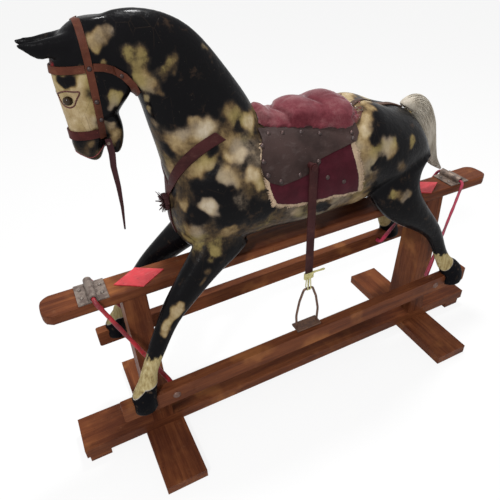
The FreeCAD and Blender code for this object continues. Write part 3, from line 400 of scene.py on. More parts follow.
# the rear bracket's metal: the cast bracket's colours, a little darker
DARKER_CAST = metal_finish("darker_cast_bracket", (0.20, 0.15, 0.12), (0.055, 0.036, 0.028), spots=55.0)
SCREW = metal_finish("old_screw", (0.20, 0.17, 0.15), (0.06, 0.045, 0.036))
NUT = metal_finish("dark_nut", (0.16, 0.10, 0.08), (0.08, 0.03, 0.02))
STEEL = metal_finish("aged_steel", (0.20, 0.165, 0.14), (0.075, 0.045, 0.032))
STIRRUP = metal_finish("rusty_stirrup", (0.17, 0.095, 0.065), (0.070, 0.034, 0.022))


# ---------------- mesh work
def clamp(value):
    return max(0.0, min(1.0, value))


def only(*chosen):
    """Select these objects alone; the first is the active one."""
    if bpy.context.object and bpy.context.object.mode != "OBJECT":
        bpy.ops.object.mode_set(mode="OBJECT")
    bpy.ops.object.select_all(action="DESELECT")
    for piece in chosen:
        piece.select_set(True)
    bpy.context.view_layer.objects.active = chosen[0]


def edit_all(piece):
    only(piece)
    bpy.ops.object.mode_set(mode="EDIT")
    bpy.ops.mesh.select_all(action="SELECT")


def done_editing():
    bpy.ops.object.mode_set(mode="OBJECT")


def modify(piece, kind, **settings):
    """Add a modifier, set it and apply it."""
    only(piece)
    bpy.ops.object.modifier_add(type=kind)
    modifier = piece.modifiers[-1]
    for key, value in settings.items():
        setattr(modifier, key, value)
    bpy.ops.object.modifier_apply(modifier=modifier.name)
    return piece


def copy_of(name, *node_names):
    """One new mesh made of the solids of some CAD nodes."""
    copies = []
    for node_name in node_names:
        only(nodes[node_name])
        bpy.ops.object.duplicate()
        copies.append(bpy.context.object)
        copies[-1].parent = None
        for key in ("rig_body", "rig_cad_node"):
            if key in copies[-1]:
                del copies[-1][key]
    only(*copies)
    if len(copies) > 1:
        bpy.ops.object.join()
    piece = bpy.context.object
    piece.name = piece.data.name = name
    piece.data.materials.clear()
    edit_all(piece)
    bpy.ops.mesh.remove_doubles(threshold=0.00001)
    done_editing()
    return piece


def finished(piece, finish, body="horse", replaced=()):
    """Give a piece its material and its body; it may stand for CAD nodes."""
    only(piece)
    piece.data.materials.clear()
    piece.data.materials.append(finish.material)
    bpy.ops.object.shade_smooth()
    if replaced:
        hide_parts(*replaced)
    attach(piece, body)
    return piece


def loose_parts(piece):
    """Split a mesh into an object for each part that hangs together."""
    edit_all(piece)
    bpy.ops.mesh.separate(type="LOOSE")
    done_editing()
    return [part for part in bpy.context.selected_objects if part.type == "MESH"]


def largest_part(piece):
    """Drop every loose part of a mesh but the biggest."""
    name = piece.name
    parts = sorted(loose_parts(piece), key=lambda part: -len(part.data.vertices))
    for part in parts[1:]:
        bpy.data.objects.remove(part)
    parts[0].name = parts[0].data.name = name
    return parts[0]


def worked(name, sources, voxel, smoothing, one_part=False):
    """The solids of some nodes as one even skin, whose edges are worked round."""
    piece = copy_of(name, *sources)
    modify(piece, "REMESH", mode="VOXEL", voxel_size=voxel)
    if one_part:
        piece = largest_part(piece)
    modify(piece, "SMOOTH", factor=0.5, iterations=smoothing)
    return piece


def joined(name, parts):
    """Several meshes as one piece."""
    only(*parts)
    bpy.ops.object.join()
    piece = bpy.context.object
    piece.name = piece.data.name = name
    return piece


def flat_grid(name, across, down):
    """A grid one metre square, whose vertices are then laid in place row by row."""
    bpy.ops.object.select_all(action="DESELECT")
    bpy.ops.mesh.primitive_grid_add(x_subdivisions=across, y_subdivisions=down, size=1, calc_uvs=False)
    piece = bpy.context.object
    piece.name = piece.data.name = name
    return piece


def smooth_path(points, parts=8):
    """A Catmull-Rom line through points."""
    points = [Vector(point) for point in points]
    ends = [points[0]] + points + [points[-1]]
    path = []
    for a, b, c, d in zip(ends, ends[1:], ends[2:], ends[3:]):
        for step_number in range(parts):
            t = step_number / parts
            path.append(0.5 * (2 * b + (c - a) * t + (2 * a - 5 * b + 4 * c - d) * t * t
                               + (3 * b - 3 * c + d - a) * t ** 3))
    return path + [points[-1]]


def heading(line, number):
    """The way a line runs at one of its points."""
    return (line[min(number + 1, len(line) - 1)] - line[max(number - 1, 0)]).normalized()


def tubes(name, paths, radius, sides=2, taper=False):
    """Round strands along several paths, as one mesh; a taper thins each towards its ends."""
    curve = bpy.data.curves.new(name, "CURVE")
    curve.dimensions = "3D"
    curve.bevel_depth, curve.bevel_resolution, curve.use_fill_caps = radius, sides, True
    for path in paths:
        spline = curve.splines.new("POLY")
        spline.points.add(len(path) - 1)
        for number, (point, place) in enumerate(zip(spline.points, path)):
            point.co = (*place, 1)
            share = number / (len(path) - 1)
            point.radius = max(0.12, min(1, 6 * share, 3 * (1 - share))) if taper else 1
    only(in_scene(name, curve))
    bpy.ops.object.convert(target="MESH")
    return bpy.context.object


def surface_of(piece):
    """The faces of a piece, for finding places on it."""
    return BVHTree.FromObject(piece, bpy.context.evaluated_depsgraph_get())


def on_surface(surface, point, lift):
    """The place on a surface that is nearest a point, a little above it."""
    place, normal, face, away = surface.find_nearest(Vector(point))
    return place + normal * lift


# ---------------- carved horse
# Places on the carving are in millimetres: x, distance from the middle and z, then a reach.
CARVED = ("body_lower_block", "body_upper_block", "neck", "head", "left_front_leg", "right_front_leg",
          "left_rear_leg", "right_rear_leg")
# spots of paint brushed over the ground colours; the last value is their darkness
SPOTS = (
    # head
    (-400, 32, 1016, 16, 0.02), (-388, 29, 1017, 15, 0.12), (-407, 35, 1007, 11, 0.1),
    (-375, 29, 1018, 11, 0.32), (-403, 38, 980, 7, 0.25), (-470, 22, 958, 9, 1), (-462, 28, 958, 9, 1),
    (-453, 33, 960, 9, 0.95), (-396, 33, 919, 35, 1), (-396, 33, 919, 17, -0.02), (-390, 18, 879, 12, 1),
    (-404, 38, 951, 13, 1), (-430, 24, 843, 15, 1), (-452, 26, 847, 8, 0.4), (-408, 26, 873, 11, 0.15),
    (-405, 23, 856, 12, 0.2), (-402, 21, 841, 10, 0.35), (-406, 15, 819, 11, 0.95),
    (-398, 19, 833, 6, 0.75),
    # neck
    (-344, 41, 980, 22, 0.26), (-355, 39, 990, 15, 0.4), (-290, 42, 961, 17, 0.3),
    (-279, 44, 948, 9, 0.45), (-304, 45, 952, 13, 0.45), (-333, 41, 933, 22, 0.22),
    (-344, 40, 947, 13, 0.22), (-319, 45, 917, 9, 0.42), (-338, 27, 903, 10, 0.28),
    (-334, 26, 880, 10, 0.28), (-330, 26, 856, 10, 0.32), (-216, 18, 972, 8, 0.4),
    (-201, 21, 949, 6, 0.4),
    # chest and shoulder
    (-265, 85, 733, 30, 1), (-236, 101, 719, 26, 1), (-288, 82, 676, 24, 1), (-221, 107, 669, 29, 1),
    (-166, 111, 662, 27, 1), (-136, 113, 670, 17, 0.95), (-238, 72, 801, 10, 0.9),
    (-171, 58, 826, 10, 0.7), (-242, 83, 761, 10, 0.85), (-167, 89, 770, 8, 0.6),
    (-314, 38, 806, 12, 0.8), (-314, 23, 712, 13, 0.9), (-180, 93, 764, 10, 0.7),
    (-222, 78, 779, 8, 0.65), (-186, 49, 860, 22, 0.2), (-249, 63, 844, 23, -0.2),
    (-266, 60, 858, 11, 0.12), (-294, 56, 826, 23, 0.12), (-279, 63, 803, 16, 0.3),
    (-145, 46, 833, 18, -0.08), (-196, 68, 809, 20, 0.22), (-184, 80, 783, 14, 0.02),
    (-209, 78, 782, 12, 0.08), (-216, 97, 747, 20, 0.06), (-272, 69, 762, 18, 0.22),
    (-255, 73, 777, 14, 0.1), (-312, 33, 763, 16, 0.22), (-167, 104, 741, 16, -0.08),
    (-162, 110, 718, 10, 0), (-306, 61, 696, 12, 0.12), (-262, 95, 696, 18, -0.22),
    (-197, 111, 692, 16, 0.6), (-292, 74, 635, 21, 0.28), (-308, 46, 605, 13, 0.25),
    (-227, 94, 619, 17, 0.22), (-211, 100, 630, 10, 0.28), (-255, 91, 580, 13, 0.25),
    # flank
    (5, 102, 617, 18, 1), (-61, 102, 624, 13, 0.15), (108, 88, 604, 22, 0.12), (127, 76, 792, 16, -0.18),
    (113, 90, 772, 18, -0.12), (81, 101, 747, 25, 0.1), (106, 114, 725, 21, 0.15),
    (96, 119, 694, 21, 0.28), (108, 116, 659, 19, 0.45), (134, 119, 697, 12, 0.9),
    # rump
    (168, 84, 782, 36, 1), (209, 92, 753, 32, 1), (131, 104, 755, 14, 0.85), (225, 115, 627, 23, 1),
    (169, 110, 646, 17, 0.95), (132, 13, 821, 22, -0.12), (149, 28, 820, 22, -0.12),
    (195, 22, 803, 20, 0.05), (148, 59, 807, 14, 0.05), (166, 114, 730, 26, 0.05),
    (243, 100, 719, 17, 0.26), (209, 113, 670, 20, 0.42), (197, 114, 597, 15, 0.35),
    (224, 123, 596, 18, 0.3),
    # legs
    (-286, 103, 541, 11, 0.42), (-271, 98, 561, 9, 0.5), (-300, 106, 526, 9, 0.5), (-356, 113, 490, 9, 0),
    (-364, 115, 480, 11, 0), (-375, 117, 470, 13, 0), (-385, 119, 458, 13, 0), (-396, 121, 447, 13, 0),
    (-405, 123, 435, 9, 0.05))
# where gouge and plane work the blank further; the last value is how far they move it, in millimetres
MOVED_ALONG = ((450, 147, 300, 26, 13.0), (-378, 18, 925, 24, 15.0), (-512, 16, 1022, 12, -7.0),
               (-478, 20, 838, 12, -5.0))
MOVED_ASIDE = ((-400, 34, 905, 22, 5.5), (-421, 36, 873, 15, -4.5), (-456, 24, 838, 7, -5.0),
               (-462, 24, 848, 9, 2.5), (-466, 24, 922, 11, -3.5), (-455, 32, 946, 12, 3.0),
               (-295, 72, 640, 30, 5.0), (-318, 20, 690, 26, -4.0), (215, 112, 640, 45, 4.0),
               (150, 110, 640, 25, -3.0), (150, 62, 800, 34, 4.0))
MOVED_UP = ((448, 147, 318, 20, 9.0), (85, 50, 596, 60, -7.0), (-512, 12, 1030, 14, 6.0),
            (-471, 12, 811, 14, 7.0), (-440, 14, 805, 14, -6.0), (-496, 16, 1002, 18, -9.0),
            (125, 50, 596, 34, -6.0), (-45, 50, 598, 65, -7.0))
# how far the top of the rump is planed down, and how wide
RUMP_LOWERED, RUMP_HALF_WIDTH = 13.0, 30


def step(value, low, high):
    """0 below low, 1 above high, smooth between them."""
    share = numpy.clip((value - low) / (high - low), 0, 1)
    return share * share * (3 - 2 * share)


def towards(dark, tone, share):
    """Darkness brought nearer a tone by a share."""
    return dark + (tone - dark) * share


def darkness(x, y, z):
    """How dark the paint is at each point, from below 0 for pale cream to 1 for black."""
    wave = 4 * numpy.sin(z * 0.10 + 1.3) + 2.5 * numpy.sin(z * 0.23 + y * 0.2)
    x, z = x + wave, z + 4 * numpy.sin(x * 0.12) + 2 * numpy.sin(x * 0.31 + 2)
    high = step(z, 832, 880)
    neck_and_head = high * numpy.maximum(step(-x, 110, 150), step(-x, 325, 345))
    face = step(-x, 414, 430) * step(z, 856, 870) * (1 - step(z, 966, 984))
    rump = step(x, 122, 160) * step(z, 540, 580)
    legs = 1 - step(z, 545, 600)
    crest = (1 - step(y, 6, 14)) * step(-x, 165, 185) * step(z, 880, 900) * (1 - step(-x, 415, 430))
    dark = 0.50 - 0.12 * step(x, -130, 40)
    dark = towards(dark, 1.0, neck_and_head)
    dark = towards(dark, -0.02, face)
    dark = towards(dark, 0.96, rump)
    dark = towards(dark, 1.0, legs)
    for px, py, pz, reach, tone in SPOTS:
        distance = numpy.sqrt((x - px) ** 2 + (y - py) ** 2 + (z - pz) ** 2)
        dark = towards(dark, tone, 1 - step(distance, 0.45 * reach, 1.55 * reach))
    dark = dark + 0.07 * high * (1 - face)
    return towards(dark, 0.95, crest)


def sock_cover(x, y, z):
    """Bare cream above each hoof, with a ragged top."""
    ragged = 3 * numpy.sin(x * 0.5) + 4 * numpy.sin(y * 0.8) + 2 * numpy.sin(y * 1.9)
    top = numpy.where(x < 0, 379, 366) + ragged
    return 1 - step(z, top - 2, top + 2)


def hoof_cover(x, z):
    """Black hooves, whose top edge slopes; nothing above the fetlock."""
    front = numpy.minimum(309, 282 + 0.9 * (x + 506))
    rear = 298 + 1.05 * (x - 402)
    edge = numpy.where(x < 0, front, rear)
    return (1 - step(z, edge - 2, edge + 2)) * (1 - step(z, 345, 352))


def red_cover(x, y, z):
    """Red inside the base of each ear."""
    inside = numpy.sqrt((x + 486) ** 2 + (y - 14) ** 2 + ((z - 982) * 1.2) ** 2)
    return 1 - step(inside, 9, 14)


def moved(table, x, y, z):
    """The sum of all the strokes of one table at each point."""
    return sum(far * numpy.exp(-((x - px) ** 2 + (y - py) ** 2 + (z - pz) ** 2) / reach ** 2)
               for px, py, pz, reach, far in table)


def make_carving():
    """The carved horse as one painted skin over its glued blocks; its halves mirror each other."""
    horse = worked("horse_carving", CARVED, 0.0037, 10,
                   one_part=True)
    points = numpy.empty(len(horse.data.vertices) * 3)
    horse.data.vertices.foreach_get("co", points)
    x, y, z = (points.reshape(-1, 3) * 1000).T
    left_or_right, y = numpy.sign(y), numpy.abs(y)
    along, aside, rise = (moved(table, x, y, z) for table in (MOVED_ALONG, MOVED_ASIDE, MOVED_UP))
    over_rump = step(x, 62, 95) * (1 - step(x, 205, 262)) * step(z, 740, 790)
    rise -= RUMP_LOWERED * numpy.exp(-(y / RUMP_HALF_WIDTH) ** 2) * over_rump
    x, y, z = x + along, y + aside * step(y, 0, 6), z + rise
    points = numpy.stack((x, y * left_or_right, z), axis=1) / 1000
    horse.data.vertices.foreach_set("co", points.ravel())
    for name, cover in (("dapple", darkness(x, y, z)), ("sock", sock_cover(x, y, z)),
                        ("hoof", hoof_cover(x, z)), ("red", red_cover(x, y, z))):
        horse.data.attributes.new(name, "FLOAT", "POINT").data.foreach_set("value", cover)
    horse.data.update()
    return finished(horse, PAINT, replaced=CARVED)


# ---------------- eyes and painted lines of the face
# in millimetres: x, distance from the middle and z
LID = ((-479, 8, 934), (-468, 22, 940), (-457, 31, 940), (-447, 35, 938), (-453, 32, 927), (-461, 27, 915),
       (-470, 20, 912), (-476, 12, 918), (-479, 8, 934))
LIPS = ((-474, 3, 829), (-468, 14, 822), (-456, 22, 817), (-444, 24, 819), (-432, 22, 826), (-425, 17, 833))
LID_RADIUS, LIP_RADIUS, PAINT_LIFT = 0.0013, 0.0008, 0.0002
# where each bead is set, in metres, and its size as a share of the node's
EYE_AT, EYE_SHARE = (-0.4670, 0.0150, 0.9215), 0.92


def make_face_line(name, points, radius, finish, surface):
    """A thin raised line, brushed on both sides of the face."""
    paths = []
    for side in (LEFT, RIGHT):
        path = smooth_path([(x / 1000, side * y / 1000, z / 1000) for x, y, z in points], 6)
        paths.append([on_surface(surface, point, PAINT_LIFT) for point in path])
    finished(tubes(name, paths, radius), finish)


def make_eyes():
    """Glass beads set under the painted lids."""
    eyes = copy_of("eye_beads", "eyes")
    modify(eyes, "SUBSURF", levels=1, render_levels=1)
    low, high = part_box("eyes")
    width = high[0] - low[0]
    middle = Vector(((low[0] + high[0]) / 2, high[1] - width / 2, (low[2] + high[2]) / 2))
    for vertex in eyes.data.vertices:
        side = math.copysign(1, vertex.co.y)
        out = vertex.co - Vector((middle.x, side * middle.y, middle.z))
        vertex.co = Vector((EYE_AT[0], side * EYE_AT[1], EYE_AT[2])) + out * EYE_SHARE
    finished(eyes, EYE, replaced=("eyes",))


# ---------------- seat cushion
# sewn channels: where each crosses the middle, how far it slants back, its depth and its reach aside
SEWN = ((-0.071, 0.45, 0.0060, 0.09), (0.016, 0.42, 0.0050, 0.052))
CHANNEL_WIDTH = 0.0046
WRINKLES, WRINKLE_DEPTH, WRINKLE_LENGTH, WRINKLE_WIDTH = 26, 0.0011, 0.020, 0.0030
# how far the stuffing swells, and how high the leather hem stands
SWELL, HEM = 0.005, 0.011
# how much the rear spreads and is lowered, and how near the rim lies to the horse
SPREAD, REAR_LOWERED, RIM_LIFT, RIM_HEIGHT = 0.20, 0.012, 0.0005, 0.018
PRESSURE, CLOTH_QUALITY, CLOTH_FRAMES = 4, 6, 20


def settle(seat, under):
    """Spread the rear, lower its edge and bring the rim down on the horse; gives every height."""
    heights = []
    for vertex in seat.data.vertices:
        place, normal, face, away = under.find_nearest(vertex.co)
        heights.append(away)
        back = clamp((vertex.co.x - 0.07) / 0.06)
        vertex.co.x += SPREAD * max(0.0, vertex.co.x - 0.05) * min(1.0, abs(vertex.co.y) / 0.05)
        vertex.co.z -= REAR_LOWERED * back * math.exp(-(vertex.co.y / 0.05) ** 2)
        if (vertex.co - place).dot(normal) < RIM_LIFT:
            vertex.co = place + normal * RIM_LIFT
        elif away < RIM_HEIGHT and vertex.normal.dot(normal) < 0.3:
            vertex.co = vertex.co.lerp(place, 0.8)
    return heights


def blow_up(seat, heights):
    """Swell the seat as cloth with air in it, by less near the rim."""
    before = [vertex.co.copy() for vertex in seat.data.vertices]
    only(seat)
    bpy.ops.object.modifier_add(type="CLOTH")
    cloth = seat.modifiers[-1]
    cloth.settings.use_pressure = True
    cloth.settings.uniform_pressure_force = PRESSURE
    cloth.settings.effector_weights.gravity = 0
    cloth.settings.quality = CLOTH_QUALITY
    for number in range(1, CLOTH_FRAMES + 1):
        bpy.context.scene.frame_set(number)
    bpy.ops.object.modifier_apply(modifier=cloth.name)
    bpy.context.scene.frame_set(1)
    for vertex, start, height in zip(seat.data.vertices, before, heights):
        swollen = vertex.co - start
        furthest = SWELL * clamp((height - 0.004) / 0.012)
        vertex.co = start + swollen.normalized() * min(swollen.length, furthest)


def sew(seat, heights):
    """Draw in the channels and the wrinkles, and mark the channels for their painted shade and the hem for
    the finish.
    """
    groove = seat.data.attributes.new("groove", "FLOAT", "POINT")
    binding = seat.data.attributes.new("binding", "FLOAT", "POINT")
    chance = random.Random(5)
    wrinkles = [(chance.uniform(-0.1, 0.1), chance.uniform(-0.06, 0.06), chance.uniform(-0.5, 0.5))
                for _ in range(WRINKLES)]
    normals = [vertex.normal.copy() for vertex in seat.data.vertices]
    for vertex, normal, height in zip(seat.data.vertices, normals, heights):
        x, y, z = vertex.co
        depth = shade = 0.0
        for middle, slant, sink, reach in SEWN:
            away = (x - middle - slant * abs(y)) / CHANNEL_WIDTH
            fade = max(0.0, 1 - (abs(y) / reach) ** 2)
            depth += sink * math.exp(-away * away) * fade
            shade += math.exp(-away * away * 2.2) * fade
        for px, py, turn in wrinkles:
            along = (x - px) * math.cos(turn) + (y - py) * math.sin(turn)
            across = -(x - px) * math.sin(turn) + (y - py) * math.cos(turn)
            near = math.exp(-(along / WRINKLE_LENGTH) ** 2 - (across / WRINKLE_WIDTH) ** 2)
            depth += WRINKLE_DEPTH * near
        if normal.z > -0.3 and height > 0.010:
            vertex.co -= normal * depth
        # how strongly the painted shade of the channels darkens the velvet here
        groove.data[vertex.index].value = min(1.0, shade)
        hem = HEM * clamp((x - 0.060) / 0.04)
        binding.data[vertex.index].value = clamp((hem - height) / 0.0015)


def make_cushion(surface):
    """The stuffed seat on its board: blown up as cloth, then drawn in along its sewn channels."""
    seat = worked("seat_cushion", ("saddle_seat", "saddle_base"), 0.004, 10,
                  one_part=True)
    heights = settle(seat, surface)
    blow_up(seat, heights)
    sew(seat, heights)
    modify(seat, "SUBSURF", levels=1, render_levels=1)
    finished(seat, VELVET, replaced=("saddle_seat", "saddle_base", "saddle_tree"))


# ---------------- saddle cloths
# the edges of the cloth seen from the side, x and z in millimetres
CLOTH_FRONT = ((-132, 790), (-140, 768), (-139, 740), (-136, 712), (-130, 690), (-122, 673))
CLOTH_FOOT = ((-122, 673), (-104, 664), (-80, 657), (-50, 653), (-10, 650), (25, 651), (50, 645),
              (88, 642))
CLOTH_BACK = ((70, 790), (69, 760), (69, 738), (75, 710), (82, 680), (88, 642))
CLOTH_CORNERS = tuple(Vector(edge[end]) for end in (0, -1) for edge in (CLOTH_FRONT, CLOTH_BACK))
# how high each layer lies over the carving, how far the backing shows in mm, and how ragged it is
FELT_LIFT, FELT_THICK, FELT_RAGGED = 0.0026, 0.0012, 0.8
BACKING_LIFT, BACKING_THICK, BACKING_SPREAD, BACKING_RAGGED = 0.0012, 0.0009, 6.0, 2.4
THREAD_RADIUS, THREAD_LIFT = 0.00035, 0.0009
# the frays of the edges come round again after so many; ripples run down the cloth
FRAYS, RIPPLE = 400, 0.0007


def along_line(points, share):
    """A point at a share of a line's length in the X and Z plane."""
    runs = [math.dist(a, b) for a, b in zip(points, points[1:])]
    left = share * sum(runs)
    for (a, b), run in zip(zip(points, points[1:]), runs):
        if left <= run:
            return Vector(a).lerp(Vector(b), left / run)
        left -= run
    return Vector(points[-1])


def cloth_place(u, v):
    """A point of the cloth seen from the side: u from front to back, v from top to foot."""
    top = CLOTH_CORNERS[0].lerp(CLOTH_CORNERS[1], u)
    between_edges = along_line(CLOTH_FRONT, v).lerp(along_line(CLOTH_BACK, v), u)
    down = top.lerp(along_line(CLOTH_FOOT, u), v)
    return between_edges + down - top.lerp(CLOTH_CORNERS[2].lerp(CLOTH_CORNERS[3], u), v)


def lay_cloth(name, surface, side, lift, spread, ragged, seed):
    """A cloth laid on the horse's side; gives the piece, its area and its foot and side edges."""
    chance = random.Random(seed)
    frays = [chance.uniform(-1, 1) for _ in range(FRAYS)]
    across, down = ((100, 72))
    cloth = flat_grid(name, across, down)
    for vertex in cloth.data.vertices:
        j, i = divmod(vertex.index, across + 1)
        u, v = i / across, j / down
        end, edge = (1 if u > 0.5 else -1), abs(2 * u - 1)
        place = cloth_place(u, v)
        place.x += spread * (2.1 if u > 0.5 else 0.8) * (2 * u - 1) * edge ** 3
        place.x += end * ragged * frays[(j * 5 + 97) % FRAYS] * edge ** 16
        place.y += ragged * frays[(i * 3) % FRAYS] * v ** 12 - spread * v ** 4
        start = Vector((place.x / 1000, side * 0.4, place.y / 1000))
        hit, normal, face, away = surface.ray_cast(start, Vector((0, -side, 0)))
        ripple = RIPPLE * math.sin(place.x * 0.16 + place.y * 0.05) * v
        vertex.co = hit + normal * (lift + ripple)
    cloth.data.update()
    if cloth.data.polygons[0].normal.y * side < 0:
        edit_all(cloth)
        bpy.ops.mesh.flip_normals()
        done_editing()
    area = sum(polygon.area for polygon in cloth.data.polygons)
    places = [vertex.co.copy() for vertex in cloth.data.vertices]
    rows = [places[start:start + across + 1] for start in range(0, len(places), across + 1)]
    sides = rows[down // 3:]
    return cloth, area, rows[-1] + [row[0] for row in sides] + [row[-1] for row in sides]


def make_saddle_cloth(side, label, surface):
    """Burgundy felt over a pale backing that is worn to threads along its edges."""
    felt, area, _ = lay_cloth(label + "_felt", surface, side, FELT_LIFT, 0.0, FELT_RAGGED, 3)
    modify(felt, "SOLIDIFY", thickness=FELT_THICK, offset=-1.0)
    backing, under, edge = lay_cloth(label + "_backing", surface, side, BACKING_LIFT, BACKING_SPREAD,
                                     BACKING_RAGGED, 8)
    modify(backing, "SOLIDIFY", thickness=BACKING_THICK, offset=-1.0)
    yarn = random.Random(11)
    threads = []
    middle = Vector((-0.026, side * 0.115, 0.70))
    for place in edge + edge:
        for _ in range(3):
            out = place - middle
            out.y = 0
            out = out.normalized() + Vector((yarn.uniform(-0.7, 0.7), 0, yarn.uniform(-0.7, 0.7)))
            astray = Vector((yarn.uniform(-0.001, 0.001), 0, yarn.uniform(-0.001, 0.001)))
            start = place - out * 0.002 + astray
            tip = start + out.normalized() * yarn.uniform(0.003, 0.0075)
            threads.append([on_surface(surface, spot, THREAD_LIFT)
                            for spot in (start, (start + tip) / 2, tip)])
    fringe = tubes(label + "_fringe", threads, THREAD_RADIUS, sides=0)
    finished(felt, FELT, replaced=(label + "_saddle_cloth",))
    finished(backing, CANVAS)
    finished(fringe, CANVAS)


# ---------------- nails, crupper
# where a stud on each cheek holds the throat latch, in metres, and how near the node's own lies to it
LATCH_STUD, STUD_NEAR, STUD_LIFT = Vector((-0.3735, 0.042, 0.952)), 0.03, 0.0008


def make_nails(label, node, share, strap=None):
    """Domed nails like those of a node, each grown about its own middle; a strap has one on each side."""
    nails = loose_parts(copy_of(label, node))
    for nail in nails:
        middle = sum((vertex.co for vertex in nail.data.vertices), Vector()) / len(nail.data.vertices)
        mark = Vector((LATCH_STUD.x, math.copysign(LATCH_STUD.y, middle.y), LATCH_STUD.z))
        near = strap and (middle - mark).length < STUD_NEAR
        seat = on_surface(strap, mark, STUD_LIFT) if near else middle
        for vertex in nail.data.vertices:
            vertex.co = seat + (vertex.co - middle) * share
    finished(joined(label, nails), NAIL, replaced=(node,))


# middle line of the crupper strap seen from above, x and y in millimetres
CRUPPER = ((104, -33), (120, -28), (142, -20), (166, -11), (192, -4), (225, 0), (262, 0), (284, 0))
CRUPPER_WIDTH, CRUPPER_THICK, CRUPPER_LIFT = 0.016, 0.0022, 0.0028


def make_crupper(surface):
    """The strap from the saddle's back edge over the rump to the tail."""
    line = smooth_path([(x / 1000, y / 1000, 0) for x, y in CRUPPER], 6)
    strap = flat_grid("rump_strap", len(line) - 1, 4)
    for vertex in strap.data.vertices:
        number = vertex.index % len(line)
        ahead = heading(line, number)
        beside = Vector((-ahead.y, ahead.x, 0)) * vertex.co.y * CRUPPER_WIDTH
        above = line[number] + beside + Vector((0, 0, 1.2))
        hit, normal, face, away = surface.ray_cast(above, Vector((0, 0, -1)))
        vertex.co = hit + normal * CRUPPER_LIFT
    modify(strap, "SOLIDIFY", thickness=CRUPPER_THICK, offset=-1.0)
    finished(strap, CRUPPER_LEATHER, replaced=("crupper_strap",))


# ---------------- irons, top rail
def make_iron(label, node, thinner, finish):
    """A hand-drawn round bar, a little uneven along its length; its feet keep their full width."""
    iron = worked(label, (node,), 0.0016, 4)
    normals = [vertex.normal.copy() for vertex in iron.data.vertices]
    for vertex, normal in zip(iron.data.vertices, normals):
        lumps = 0.5 * math.sin(vertex.co.y * 140 + vertex.co.z * 60) + 0.5 * math.sin(vertex.co.z * 210)
        above_foot = clamp((vertex.co.z - 0.30) / 0.03)
        vertex.co -= normal * above_foot * (thinner + 0.00045 * lumps)
    finished(iron, finish, body=label, replaced=(node,))


# the share of the top rail's half length past which its ends are worn round, and by how much
WORN_FROM, FRONT_WORN, CORNERS_WORN = 0.92, 0.005, 0.013


def make_top_rail():
    """The planed rail with its worn edges and rounded ends."""
    rail = worked("worn_top_rail", ("top_rail",), 0.003, 3)
    half_length, half_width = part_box("top_rail")[1][:2]
    start = WORN_FROM * half_length
    for vertex in rail.data.vertices:
        x, y, z = vertex.co
        if abs(x) > start:
            end = half_length - CORNERS_WORN * (abs(y) / half_width) ** 3
            end -= FRONT_WORN if x < 0 else 0.0
            share = (abs(x) - start) / (half_length - start)
            vertex.co.x = math.copysign(start + share * (end - start), x)
    finished(rail, GRAIN_X, body="stand", replaced=("top_rail",))


# ---------------- tail
# middle line and half thickness of the bunch of hair, in millimetres: x, z, half thickness
TAIL_LINE = ((302, 748, 14), (312, 763, 21), (336, 760, 25), (361, 735, 27), (382, 701, 25), (397, 662, 22),
             (410, 625, 20), (432, 588, 14), (470, 552, 3))
STRAND_RADIUS, TAIL_FLATNESS = 0.0009, 0.88


def make_tail():
    """Combed horsehair: a soft core with strands laid along it."""
    core = copy_of("tail_core", "tail")
    modify(core, "REMESH", mode="VOXEL", voxel_size=0.004)
    modify(core, "DISPLACE", strength=-0.0015, mid_level=0.0)
    modify(core, "SMOOTH", factor=0.5, iterations=8)
    finished(core, HAIR)
    comb = random.Random(21)
    line = smooth_path([(x / 1000, 0, z / 1000) for x, z, reach in TAIL_LINE], 4)
    reaches = smooth_path([(reach / 1000, 0, 0) for x, z, reach in TAIL_LINE], 4)
    strands = []
    for number in range(300):
        angle, share = comb.uniform(0, 2 * math.pi), comb.uniform(0.82, 1.02)
        wave, phase = comb.uniform(0, 0.14), comb.uniform(0, 6)
        first, last = comb.randint(0, 8), len(line) - comb.choice((0, 0, 0, 1, 2, 4, 7))
        path = []
        for count in range(first, last):
            ahead = heading(line, count)
            up = Vector((-ahead.z, 0, ahead.x))
            turn = angle + wave * math.sin(count * 0.45 + phase)
            reach = reaches[count].x * share
            aside = Vector((0, reach * TAIL_FLATNESS * math.sin(turn), 0))
            path.append(line[count] + up * (reach * math.cos(turn)) + aside)
        strands.append(path)
    hair = tubes("tail_hair", strands, STRAND_RADIUS, sides=0, taper=True)
    finished(hair, HAIR, replaced=("tail",))


# ---------------- chest fringe, string tie
ROSETTE_AT = Vector((-0.3305, 0, 0.677))
# strips of leather in each ring, from the chest outwards, and the parts and half width of a strip
RING_STRIPS, STRIP_PARTS, STRIP_HALF = (15, 11), 5, 0.0024


